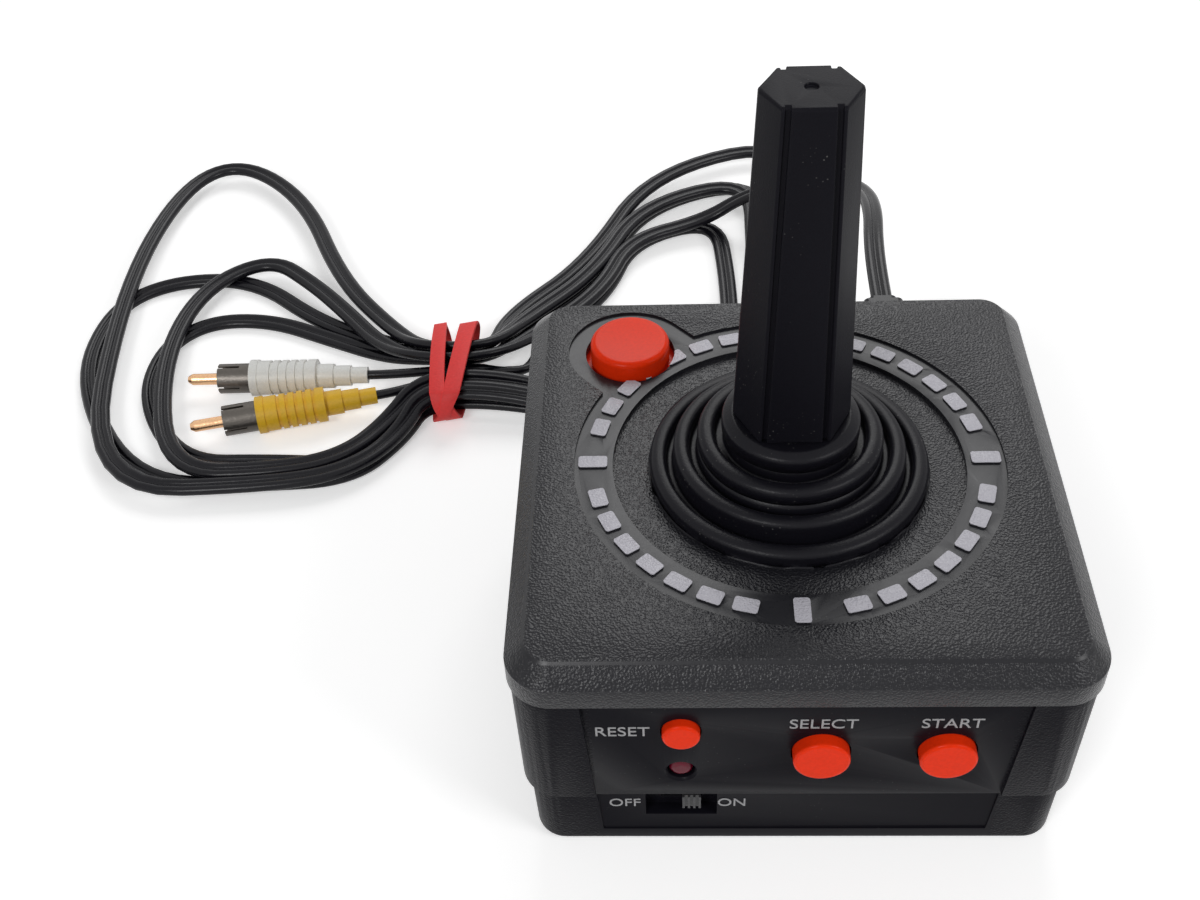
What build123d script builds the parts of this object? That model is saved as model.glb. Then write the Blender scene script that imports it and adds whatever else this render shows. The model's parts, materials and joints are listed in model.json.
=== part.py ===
# Battery-powered plug-and-play joystick: one stick, one fire button, three front buttons,
# a power switch and a hanked twin cord with two video plugs.
# Millimetres, +Z up, the front panel faces -Y, the origin is under the middle of the base.
from math import atan, atan2, cos, degrees, radians, sin, sqrt, tan
import os

from build123d import *

os.makedirs("parts", exist_ok=True)

# Case: outer sizes
CASE_WIDTH = 112.0
CASE_CORNER_R = 9.0
BASE_HEIGHT = 19.0
HOUSING_HEIGHT = 30.8
LID_RIM_HEIGHT = 5.0
LID_BEVEL = 4.2
HOUSING_INSET = 0.6
HOUSING_TAPER = 0.5
BASE_STEP = 1.3
BASE_TAPER = 0.6
BASE_EDGE_R = 2.2

# Case: walls and lips
LID_SIDE_WALL = 3.5
LID_THICKNESS = 2.6
HOUSING_WALL = 2.9
BASE_WALL = 2.5
FLOOR_THICKNESS = 2.2
LIP_THICKNESS = 1.5
LIP_HEIGHT = 3.0
BASE_LIP_HEIGHT = 2.0
LIP_GAP = 0.2
PANEL_RECESS = 0.9
PANEL_TOP_WIDTH = 84.0
PANEL_BOTTOM_WIDTH = 78.0
PANEL_BOTTOM_Z = 4.6

# Lid: ring, surround of the fire button and disc
RING_OUTER_R = 44.3
RING_INNER_R = 36.3
RING_DEPTH = 0.6
DISC_DEPTH = 1.8
DISC_BACKING = 1.8
DISC_BACKING_RIM = 0.9
SURROUND_R = 13.8
MARKS_PER_QUARTER = 7
MARK_PITCH = 10.0
MARK_CORNER_R = 0.6
MARK_R = 40.4
MARK_RADIAL = 3.4
MARK_LENGTH = 4.9
MARK_HEIGHT = 0.5
BAR_RADIAL = 6.0
BAR_WIDTH = 3.2

# Fire button
FIRE_INSET_X = 23.0
FIRE_INSET_Y = 20.7
FIRE_R = 8.8
FIRE_HOLE_R = 10.0
FIRE_HEIGHT = 3.2
FIRE_EDGE_R = 1.2
FIRE_FLANGE_R = 10.8
FIRE_FLANGE_THICKNESS = 1.2
FIRE_SHELL = 1.6
FIRE_STEM_R = 3.0
FIRE_DISH = 0.35
FIRE_DISH_RIM = 0.3
FIRE_DOME_HEIGHT = 3.4
FIRE_DOME_TOP_R = 3.4
FIRE_DOME_R = 5.5
FIRE_DOME_WALL = 0.9
SEAT_GAP = 0.3

# Front buttons: x, z, radius and height over the panel
FRONT_BUTTONS = {
    "reset_button": (-23.0, 40.0, 3.65, 1.8),
    "select_button": (3.8, 33.2, 5.5, 2.6),
    "start_button": (27.8, 33.2, 5.5, 2.6),
}
BUTTON_EDGE_R = 0.7
BUTTON_GAP = 0.3
BUTTON_FLANGE = 1.2
BUTTON_FLANGE_THICKNESS = 1.0
BUTTON_STEM_R = 1.8
BUTTON_TRAVEL = 1.2

# Front board and its pad
FRONT_BOARD_DEPTH = 8.05
FRONT_BOARD_THICKNESS = 1.6
FRONT_BOARD_X = (-36.0, 39.0)
FRONT_BOARD_Z = (22.0, 46.4)
FRONT_BOARD_POSTS = ((-32.0, 43.4), (-9.0, 25.0), (15.8, 25.0), (36.0, 43.4))
FRONT_POST_R = 2.2
PAD_THICKNESS = 1.0
PAD_MARGIN = 1.4
DOME_HEIGHT = 1.2
DOME_R = 3.2

# Power lamp
LED_X = -23.0
LED_Z = 26.8
LED_R = 2.5
LED_FLANGE_R = 2.9
LED_FLANGE_HEIGHT = 1.0
LED_HOLE_R = 2.75
LED_CHAMFER = 0.5
LED_TIP_DEPTH = 0.5
LED_TIP_R = 1.4

# Power switch
SWITCH_X = -23.0
SWITCH_Z = 13.6
SWITCH_RECESS_WIDTH = 14.4
SWITCH_RECESS_HEIGHT = 8.4
SWITCH_RECESS_DEPTH = 3.0
SWITCH_BACKING = 1.8
SWITCH_BACKING_RIM = 1.6
SWITCH_SLOT_LENGTH = 8.4
SWITCH_SLOT_HEIGHT = 4.5
SWITCH_TRAVEL = 4.2
KNOB_WIDTH = 3.7
KNOB_HEIGHT = 3.9
KNOB_LENGTH = 4.6
KNOB_RIBS = 4
KNOB_RIB_WIDTH = 0.45
KNOB_RIB_HEIGHT = 0.5
KNOB_FOOT_WIDTH = 5.4
KNOB_FOOT_HEIGHT = 5.0
KNOB_FOOT_THICKNESS = 1.0
SWITCH_BODY_WIDTH = 13.0
SWITCH_BODY_HEIGHT = 6.4
SWITCH_BODY_DEPTH = 6.0
SWITCH_GAP = 0.2

# Stick and its pivot
PIVOT_Z = 50.0
SHAFT_R = 4.0
SHAFT_TOP_Z = 138.0
CORE_R = 6.0
CORE_HEIGHT = 7.0
CORE_NECK_R = 5.0
FLANGE_R = 15.5
FLANGE_THICKNESS = 1.5
FLANGE_DROP = 5.9
GIMBAL_INNER_R = 8.4
GIMBAL_OUTER_R = 10.4
GIMBAL_HEIGHT = 4.6
PIVOT_PIN_R = 1.5
PIVOT_PIN_CUT = 0.2
PIVOT_CLEARANCE = 0.05
LUG_START = 11.9
LUG_THICKNESS = 2.5
LUG_WIDTH = 6.0
LUG_DROP = 2.1
PIVOT_PLATE_THICKNESS = 2.0
PIVOT_PLATE_HOLE_R = 11.6
PIVOT_PLATE_R = 36.6
PLATE_SCREW_COUNT = 4
PLATE_SCREW_BITE = 2.2
PLATE_SCREW_ANGLE = 45.0

# Handle: a clipped hexagon that widens towards the boot
HANDLE_TOP_Z = 145.5
HANDLE_BOTTOM_Z = 72.7
HANDLE_TOP_HALF = (8.95, 7.3)
HANDLE_BOTTOM_HALF = (11.7, 9.7)
HANDLE_TOP_FACE = 5.4
HANDLE_BOTTOM_FACE = 7.0
HANDLE_SIDE_FLAT = 0.6
HANDLE_FACE_RISE = 0.4
HANDLE_GROOVE_WIDTH = 1.0
HANDLE_GROOVE_DEPTH = 0.6
HANDLE_GROOVE_INSET = 0.6
HANDLE_TOP_BEVEL = 0.5
DIMPLE_R = 1.2
DIMPLE_DEPTH = 0.6
SHAFT_GAP = 0.05

# Boot: a collar round the stick, then three steps down to the lid.
# Each step is the radius of its outer wall, the height of its top and the valley inside it.
COLLAR_R = 13.6
COLLAR_TOP_Z = 72.5
COLLAR_TOP_R = 12.4
COLLAR_BEVEL = 1.0
COLLAR_UNDER_Z = 69.0
SHAFT_SLEEVE_GAP = 0.15
BOOT_STEPS = (
    (18.8, 67.8, 64.6),
    (23.7, 64.1, 60.8),
    (28.6, 60.4, 57.4),
)
BOOT_RIM = 2.4
BOOT_WALL = 1.2
BOOT_EDGE_R = 0.5
BOOT_HOLE_GAP = 0.3
BOOT_FLANGE_R = 32.4
BOOT_FLANGE_THICKNESS = 1.2

# Main board
BOARD_FRONT_GAP = 1.1
BOARD_CORNER_CUT = 9.0
BOARD_TOP_Z = 38.0
BOARD_THICKNESS = 1.6
BOARD_POST_INSET = 2.7
BOARD_POST_COUNT = 4
BOARD_POST_R = 2.8
DIRECTION_PAD_HALF = 19.0
DIRECTION_PAD_THICKNESS = 0.7
DIRECTION_DOME_RADIUS = 13.0
DIRECTION_DOME_R = 4.0
DIRECTION_DOME_HEIGHT = 0.6
CHIP_BLOB_R = 7.0
CHIP_BLOB_HEIGHT = 2.0
CHIP_BLOB_EDGE = 0.6
CHIP_X = 16.0
CHIP_Y = -14.0
BOARD_PARTS = ((-18.0, -20.0, 5.0, 11.0, 3.5), (-6.0, -26.0, 6.0, 4.0, 3.0), (26.0, 14.0, 8.0, 5.0, 4.0))
RIBBON_WIDTH = 14.0
RIBBON_THICKNESS = 0.8
RIBBON_OVERLAP = 5.0
RIBBON_X = 20.0

# Screws
SCREW_CLEARANCE = 0.05
CASE_SCREW_INSET = 11.6
CASE_SCREW_R = 1.4
CASE_SCREW_HEAD_R = 2.8
CASE_SCREW_HEAD = 2.0
CASE_SCREW_DEPTH = 11.0
CASE_SCREW_LENGTH = 18.0
CASE_SCREW_HOLE_GAP = 0.3
LID_POST_R = 3.4
BASE_POST_R = 4.6
COUNTERBORE_GAP = 0.4
SMALL_SCREW_R = 1.1
SMALL_SCREW_HEAD_R = 2.1
SMALL_SCREW_HEAD = 1.4
SMALL_SCREW_LENGTH = 6.4
SCREW_SLOT_LENGTH = 2.4
SCREW_SLOT_WIDTH = 0.5
SCREW_SLOT_DEPTH = 0.6

# Battery bay
CELL_R = 7.1
CELL_END_ROOM = 5.5
CELL_TIP_R = 2.7
CELL_TIP_LENGTH = 1.3
CELL_COUNT = 4
CELL_PITCH = 14.7
BAY_LENGTH = 56.0
BAY_WALL = 1.6
BAY_ROOF_GAP = 0.4
BAY_SIDE_GAP = 0.6
CONTACT_THICKNESS = 0.5
CONTACT_WIDTH = 12.4
CONTACT_HEIGHT = 9.4
SPRING_R = 3.4
SPRING_TIP_R = 2.0
SPRING_WIRE_R = 0.35
SPRING_TURNS = 3
SPRING_GAP = 0.2

# Battery door
DOOR_THICKNESS = 2.0
DOOR_GAP = 0.4
DOOR_BACK_ROOM = 4.4
DOOR_TAB_X = 18.0
DOOR_TAB_WIDTH = 8.0
DOOR_TAB_REACH = 2.4
DOOR_TAB_FOOT = 1.6
DOOR_TAB_THICKNESS = 1.4
DOOR_TAB_GAP = 0.3
TAB_POCKET_LENGTH = 2.8
TAB_POCKET_HEIGHT = 3.0
TAB_POCKET_SIDE = 0.6
DOOR_TONGUE_WIDTH = 15.0
DOOR_TONGUE_LENGTH = 10.0
DOOR_SCREW_R = 1.25
DOOR_SCREW_HEAD_R = 2.6
DOOR_SCREW_HEAD = 1.2
DOOR_SCREW_SINK = 0.2
DOOR_SCREW_REACH = 3.0
DOOR_SCREW_GAP = 0.3
DOOR_SCREW_ROOM = 1.0
DOOR_BOSS_RIM = 1.6
DOOR_BOSS_HEIGHT = 6.0
DOOR_GRIP_COUNT = 5
DOOR_GRIP_PITCH = 2.6
DOOR_GRIP_DEPTH = 0.5
DOOR_GRIP_LENGTH = 22.0
DOOR_GRIP_WIDTH = 1.0

# Cord
CORD_R = 1.9
LEAD_R = 1.3
FLOOR_GAP = 0.2
ARC_SHARE = 0.45
STRAIGHT_MARGIN = 1e-9
RELIEF_X = 28.5
RELIEF_Z = 44.0
RELIEF_WIDTH = 12.2
RELIEF_HEIGHT = 7.0
RELIEF_RIBS = 4
RELIEF_RIB_PITCH = 3.7
RELIEF_RIB_GAP = 1.2
RELIEF_RIB_STEP = 0.8
RELIEF_CORNER_R = 1.6
RELIEF_CORE_WIDTH = 7.0
RELIEF_CORE_HEIGHT = 4.2
RELIEF_SLOT_WIDTH = 8.4
RELIEF_SLOT_HEIGHT = 5.4
RELIEF_FLANGE = 1.4
RELIEF_GAP = 0.2

# Hank: loops drawn in at the waist, spiralling out in the upper layer and in again on the floor
WAIST_X = -84.0
WAIST_Y = 90.0
WAIST_INNER = 2.4
WAIST_STEP = 4.7
WAIST_LIFT = 2.2
LAYER_STEP = 4.7
HANK_LAYER_NODES = 22
HANK_NODES = 46
HANK_FIRST_PHASE = 3
HANK_END_SHIFT = 12.0
HANK_END_REACH = 4.0
HANK_SAMPLE_STEP = 2.0
HANK_SAMPLES_APART = 20
# Nodes of the innermost loop: x, y, growth of x and y with each loop outwards, heading
RIGHT_NODES = (
    (WAIST_X, WAIST_Y - WAIST_INNER, 0.0, -WAIST_STEP, 0.0),
    (-32.0, 84.0, 3.0, -5.4, 4.0),
    (-10.0, 122.0, 13.0, 3.0, 90.0),
    (-24.0, 158.0, 8.0, 20.0, 202.0),
    (-52.0, 118.0, -6.0, 4.5, 228.0),
    (WAIST_X, WAIST_Y + WAIST_INNER, 0.0, WAIST_STEP, 180.0),
)
# The left ends fan out: long and aimed backwards in the upper layer, wide and low on the floor
UPPER_LEFT_NODES = (
    (-114.0, 111.0, 4.6, 4.4, 128.0),
    (-129.4, 119.2, -21.0, 55.0, 138.0),
    (-158.0, 94.0, -18.0, 56.0, 264.0),
    (-134.0, 57.0, 0.0, -5.5, 2.0),
    (-108.0, 68.0, 4.6, -3.4, 52.0),
)
FLOOR_LEFT_NODES = (
    (-112.0, 101.0, 0.0, 5.5, 155.0),
    (-140.5, 103.6, -14.0, 20.0, 180.0),
    (-156.0, 88.3, -20.5, 16.0, 270.0),
    (-138.7, 65.0, -2.0, -8.0, 0.0),
    (-108.0, 68.0, 4.6, -3.4, 52.0),
)
LEAD_LAST_RUN = 12.0
# Free stretch from the strain relief over the loops to the start of the hank
LEAD_POINTS = (
    (28.5, 83.0, 44.0),
    (29.2, 97.0, 43.8),
    (30.8, 111.0, 42.2),
    (31.0, 125.0, 38.6),
    (28.0, 138.5, 33.4),
    (21.0, 150.0, 26.6),
    (11.0, 158.5, 19.4),
    (-0.5, 163.6, 12.8),
)

# Rubber band round the waist
BAND_X = (-88.6, -80.4)
BAND_WIDTH = 4.6
BAND_THICKNESS = 1.1
BAND_GAP = 0.8

# Plugs: where the cord enters, the heading of the pin, where the lead bends, its side of the hank's end
PLUGS = {
    "video": ((-104.5, 82.0), 193.6, -86.0, -1),
    "audio": ((-108.0, 90.5), 181.0, -84.0, 1),
}
PLUG_LAST_RUN = 7.5
LEAD_SPREAD = 1.35
PLUG_R = 4.8
PLUG_HANDLE_LENGTH = 18.5
PLUG_GROOVES = 5
PLUG_GROOVE_PITCH = 2.4
PLUG_GROOVE_WIDTH = 0.9
PLUG_GROOVE_DEPTH = 0.5
PLUG_COLLAR_R = 5.1
PLUG_COLLAR_LENGTH = 2.2
PLUG_RELIEF_LENGTH = 14.0
PLUG_RELIEF_R = 3.4
PLUG_RELIEF_TIP_R = 2.3
PLUG_RELIEF_STEPS = 3
SHELL_R = 4.15
SHELL_BORE_R = 3.6
SHELL_LENGTH = 9.0
SHELL_SEAT = 2.0
SHELL_SLOTS = 4
SHELL_SLOT_WIDTH = 0.8
SHELL_SLOT_LENGTH = 6.0
PIN_R = 1.6
PIN_LENGTH = 18.0
PIN_TIP_R = 0.9
PIN_TIP_LENGTH = 1.2
PLUG_FIT = 0.05

# Derived heights and depths
SEAM_Z = BASE_HEIGHT + HOUSING_HEIGHT
BEVEL_Z = SEAM_Z + LID_RIM_HEIGHT
LID_TOP_Z = BEVEL_Z + LID_BEVEL
LID_UNDER_Z = LID_TOP_Z - LID_THICKNESS
RING_Z = LID_TOP_Z - RING_DEPTH
DISC_Z = LID_TOP_Z - DISC_DEPTH
DISC_UNDER_Z = LID_UNDER_Z - DISC_BACKING
HOUSING_WIDTH = CASE_WIDTH - 2 * HOUSING_INSET
HOUSING_FOOT_WIDTH = HOUSING_WIDTH - 2 * HOUSING_TAPER
HOUSING_INNER = HOUSING_FOOT_WIDTH - 2 * HOUSING_WALL
HOUSING_CORNER_R = CASE_CORNER_R - HOUSING_INSET - HOUSING_TAPER
BASE_WIDTH = HOUSING_FOOT_WIDTH - 2 * BASE_STEP
BASE_FOOT_WIDTH = BASE_WIDTH - 2 * BASE_TAPER
BASE_INNER = BASE_FOOT_WIDTH - 2 * BASE_WALL
BASE_CORNER_R = HOUSING_CORNER_R - BASE_STEP - BASE_TAPER
LID_INNER = CASE_WIDTH - 2 * LID_SIDE_WALL
LID_INNER_R = CASE_CORNER_R - LID_SIDE_WALL
LIP_OUTER = LID_INNER - 2 * LIP_GAP
LIP_INNER = LIP_OUTER - 2 * LIP_THICKNESS
HOUSING_INNER_R = HOUSING_CORNER_R - HOUSING_WALL
BASE_LIP_OUTER = HOUSING_INNER - 2 * LIP_GAP
BASE_LIP_INNER = BASE_LIP_OUTER - 2 * LIP_THICKNESS
UPPER_PANEL_Y = -(HOUSING_WIDTH / 2 - HOUSING_TAPER / 2 - PANEL_RECESS)
LOWER_PANEL_Y = -(BASE_WIDTH / 2 - PANEL_RECESS)
FIRE_X = FIRE_INSET_X - CASE_WIDTH / 2
FIRE_Y = CASE_WIDTH / 2 - FIRE_INSET_Y
FRONT_BOARD_Y = UPPER_PANEL_Y + FRONT_BOARD_DEPTH
BOARD_HALF = -FRONT_BOARD_Y - FRONT_BOARD_THICKNESS - BOARD_FRONT_GAP
BOARD_POST_RADIUS = BOARD_HALF - BOARD_POST_INSET
CASE_SCREW_POS = CASE_WIDTH / 2 - CASE_SCREW_INSET
CELL_LENGTH = BAY_LENGTH - CELL_TIP_LENGTH - CELL_END_ROOM
PANEL_INNER_Y = -HOUSING_INNER / 2
BOARD_UNDER_Z = BOARD_TOP_Z - BOARD_THICKNESS
BOOT_HOLE_R = BOOT_STEPS[-1][0] + BOOT_HOLE_GAP
PLATE_TOP_Z = DISC_UNDER_Z - BOOT_FLANGE_THICKNESS - SEAT_GAP
PLATE_UNDER_Z = PLATE_TOP_Z - PIVOT_PLATE_THICKNESS
PLATE_RIM_R = BOOT_FLANGE_R + SEAT_GAP
PLATE_SCREW_RADIUS = (PLATE_RIM_R + PIVOT_PLATE_R) / 2
SMALL_HOLE_R = SMALL_SCREW_R + SCREW_CLEARANCE
CASE_HOLE_R = CASE_SCREW_R + SCREW_CLEARANCE
CELL_Z = DOOR_THICKNESS + SEAT_GAP + CELL_R
BAY_HALF_X = CELL_COUNT * CELL_PITCH / 2 + BAY_SIDE_GAP
BAY_HALF_Y = BAY_LENGTH / 2
BAY_ROOF_Z = CELL_Z + CELL_R + BAY_ROOF_GAP
DOOR_BACK_Y = BAY_HALF_Y + BAY_WALL + DOOR_BACK_ROOM
HINGE_Y = DOOR_BACK_Y - DOOR_GAP
DOOR_FRONT_Y = -BAY_HALF_Y
TONGUE_END_Y = DOOR_FRONT_Y - DOOR_TONGUE_LENGTH
DOOR_SCREW_Y = DOOR_FRONT_Y - DOOR_TONGUE_LENGTH / 2
SWITCH_WALL_Y = LOWER_PANEL_Y + SWITCH_RECESS_DEPTH
SWITCH_BACK_Y = SWITCH_WALL_Y + SWITCH_BACKING
RELIEF_START_Y = HOUSING_WIDTH / 2 + RELIEF_GAP
RELIEF_END_Y = RELIEF_START_Y + RELIEF_RIBS * RELIEF_RIB_PITCH
CORNERS = [(x * CASE_SCREW_POS, y * CASE_SCREW_POS) for x in (-1, 1) for y in (-1, 1)]
CELL_X = [(i - (CELL_COUNT - 1) / 2) * CELL_PITCH for i in range(CELL_COUNT)]
STRAND_Z = FLOOR_GAP + CORD_R


def save(part, name):
    part.label = name
    export_step(part, f"parts/{name}.step")


def draft(inset, height):
    return degrees(atan(inset / height))


def rounded_square(width, radius, z):
    with BuildSketch(Plane.XY.offset(z)) as outline:
        RectangleRounded(width, width, radius)
    return outline.sketch


def front_plane(y):
    return Plane.XZ.offset(-y)


def back_plane(y):
    return Plane(origin=(0, y, 0), x_dir=(-1, 0, 0), z_dir=(0, 1, 0))


def span(x1, x2, y1, y2):
    with Locations(((x1 + x2) / 2, (y1 + y2) / 2)):
        Rectangle(abs(x2 - x1), abs(y2 - y1))


# Top cover: rim, bevel, sunk ring, marks, disc and the posts that hang from it
with BuildPart() as top_cover:
    extrude(rounded_square(CASE_WIDTH, CASE_CORNER_R, SEAM_Z), amount=LID_RIM_HEIGHT)
    extrude(rounded_square(CASE_WIDTH, CASE_CORNER_R, BEVEL_Z), amount=LID_BEVEL, taper=45)
    lid_cavity = rounded_square(LID_INNER, LID_INNER_R, SEAM_Z)
    extrude(lid_cavity, amount=LID_UNDER_Z - SEAM_Z, mode=Mode.SUBTRACT)
    with BuildSketch(Plane.XY.offset(DISC_UNDER_Z)):
        Circle(RING_INNER_R + DISC_BACKING_RIM)
    extrude(amount=LID_UNDER_Z - DISC_UNDER_Z)
    with BuildSketch(Plane.XY.offset(BASE_HEIGHT)):
        with Locations(*CORNERS):
            Circle(LID_POST_R)
            Circle(CASE_HOLE_R, mode=Mode.SUBTRACT)
    extrude(amount=LID_UNDER_Z - BASE_HEIGHT)
    with BuildSketch(Plane.XY.offset(BOARD_TOP_Z)):
        with PolarLocations(BOARD_POST_RADIUS, BOARD_POST_COUNT):
            Circle(BOARD_POST_R)
            Circle(SMALL_HOLE_R, mode=Mode.SUBTRACT)
    extrude(amount=LID_UNDER_Z - BOARD_TOP_Z)
    # Smooth ring with the surround of the fire button, sunk into the grained top
    with BuildSketch(Plane.XY.offset(RING_Z)):
        Circle(RING_OUTER_R)
        with Locations((FIRE_X, FIRE_Y)):
            Circle(SURROUND_R)
        with Locations(Location((FIRE_X / 2, FIRE_Y / 2), degrees(atan2(FIRE_Y, FIRE_X)))):
            Rectangle(sqrt(FIRE_X**2 + FIRE_Y**2), 2 * SURROUND_R)
    extrude(amount=RING_DEPTH, mode=Mode.SUBTRACT)
    # Raised marks: dashes in each quarter and a bar at each side
    with BuildSketch(Plane.XY.offset(RING_Z)):
        marks_span = (MARKS_PER_QUARTER - 1) * MARK_PITCH
        for quarter in range(4):
            first_angle = 90 * quarter + 45 - marks_span / 2
            with PolarLocations(MARK_R, MARKS_PER_QUARTER, first_angle, marks_span, endpoint=True):
                RectangleRounded(MARK_RADIAL, MARK_LENGTH, MARK_CORNER_R)
        with PolarLocations(MARK_R, 4):
            RectangleRounded(BAR_RADIAL, BAR_WIDTH, MARK_CORNER_R)
    extrude(amount=MARK_HEIGHT)
    with BuildSketch(Plane.XY.offset(DISC_Z)):
        Circle(RING_INNER_R)
    extrude(amount=DISC_DEPTH, mode=Mode.SUBTRACT)
    with BuildSketch(Plane.XY.offset(DISC_UNDER_Z)):
        Circle(BOOT_HOLE_R)
    extrude(amount=DISC_Z - DISC_UNDER_Z, mode=Mode.SUBTRACT)
    with BuildSketch(Plane.XY.offset(LID_UNDER_Z)):
        with Locations((FIRE_X, FIRE_Y)):
            Circle(FIRE_HOLE_R)
    extrude(amount=LID_THICKNESS, mode=Mode.SUBTRACT)
    with BuildSketch(Plane.XY.offset(DISC_UNDER_Z)):
        with PolarLocations(PLATE_SCREW_RADIUS, PLATE_SCREW_COUNT, PLATE_SCREW_ANGLE):
            Circle(SMALL_HOLE_R)
    extrude(amount=PLATE_SCREW_BITE, mode=Mode.SUBTRACT)
save(top_cover.part, "top_cover")


def panel_outline(y):
    with BuildSketch(front_plane(y)) as outline:
        with BuildLine():
            Polyline(
                (-PANEL_BOTTOM_WIDTH / 2, PANEL_BOTTOM_Z),
                (PANEL_BOTTOM_WIDTH / 2, PANEL_BOTTOM_Z),
                (PANEL_TOP_WIDTH / 2, SEAM_Z),
                (-PANEL_TOP_WIDTH / 2, SEAM_Z),
                close=True,
            )
        make_face()
    return outline.sketch


# Upper housing with the front panel's openings and the slot of the strain relief
with BuildPart() as upper_housing:
    housing_foot = rounded_square(HOUSING_FOOT_WIDTH, HOUSING_CORNER_R, BASE_HEIGHT)
    extrude(housing_foot, amount=HOUSING_HEIGHT, taper=-draft(HOUSING_TAPER, HOUSING_HEIGHT))
    extrude(rounded_square(LIP_OUTER, LID_INNER_R - LIP_GAP, SEAM_Z), amount=LIP_HEIGHT)
    housing_cavity = rounded_square(HOUSING_INNER, HOUSING_INNER_R, BASE_HEIGHT)
    extrude(housing_cavity, amount=HOUSING_HEIGHT - LIP_HEIGHT, mode=Mode.SUBTRACT)
    lip_bore = rounded_square(LIP_INNER, LID_INNER_R - LIP_GAP - LIP_THICKNESS, SEAM_Z - LIP_HEIGHT)
    extrude(lip_bore, amount=2 * LIP_HEIGHT, mode=Mode.SUBTRACT)
    extrude(panel_outline(UPPER_PANEL_Y), amount=CASE_WIDTH, mode=Mode.SUBTRACT)
    with BuildSketch(front_plane(FRONT_BOARD_Y)):
        with Locations(*FRONT_BOARD_POSTS):
            Circle(FRONT_POST_R)
            Circle(SMALL_HOLE_R, mode=Mode.SUBTRACT)
    extrude(amount=FRONT_BOARD_Y - PANEL_INNER_Y)
    with BuildSketch(front_plane(PANEL_INNER_Y)):
        for x, z, radius, height in FRONT_BUTTONS.values():
            with Locations((x, z)):
                Circle(radius + BUTTON_GAP)
        with Locations((LED_X, LED_Z)):
            Circle(LED_HOLE_R)
    extrude(amount=PANEL_INNER_Y - UPPER_PANEL_Y, mode=Mode.SUBTRACT)
    panel_face = upper_housing.faces().filter_by(Axis.Y).filter_by(lambda f: f.center().Y == UPPER_PANEL_Y)
    panel_rings = upper_housing.edges().filter_by(GeomType.CIRCLE).filter_by(Plane.XZ)
    lamp_edges = panel_rings.filter_by(lambda e: abs(e.radius - LED_HOLE_R) < LED_CHAMFER / 10)
    chamfer(lamp_edges.sort_by(Axis.Y)[0], LED_CHAMFER)
    # The slot is open at the top, so that the strain relief drops in
    with BuildSketch(back_plane(LIP_INNER / 2 - LIP_THICKNESS)):
        span(
            -RELIEF_X - RELIEF_SLOT_WIDTH / 2,
            -RELIEF_X + RELIEF_SLOT_WIDTH / 2,
            RELIEF_Z - RELIEF_SLOT_HEIGHT / 2,
            SEAM_Z + LIP_HEIGHT,
        )
    extrude(amount=CASE_WIDTH, mode=Mode.SUBTRACT)
save(upper_housing.part, "upper_housing")

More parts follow.
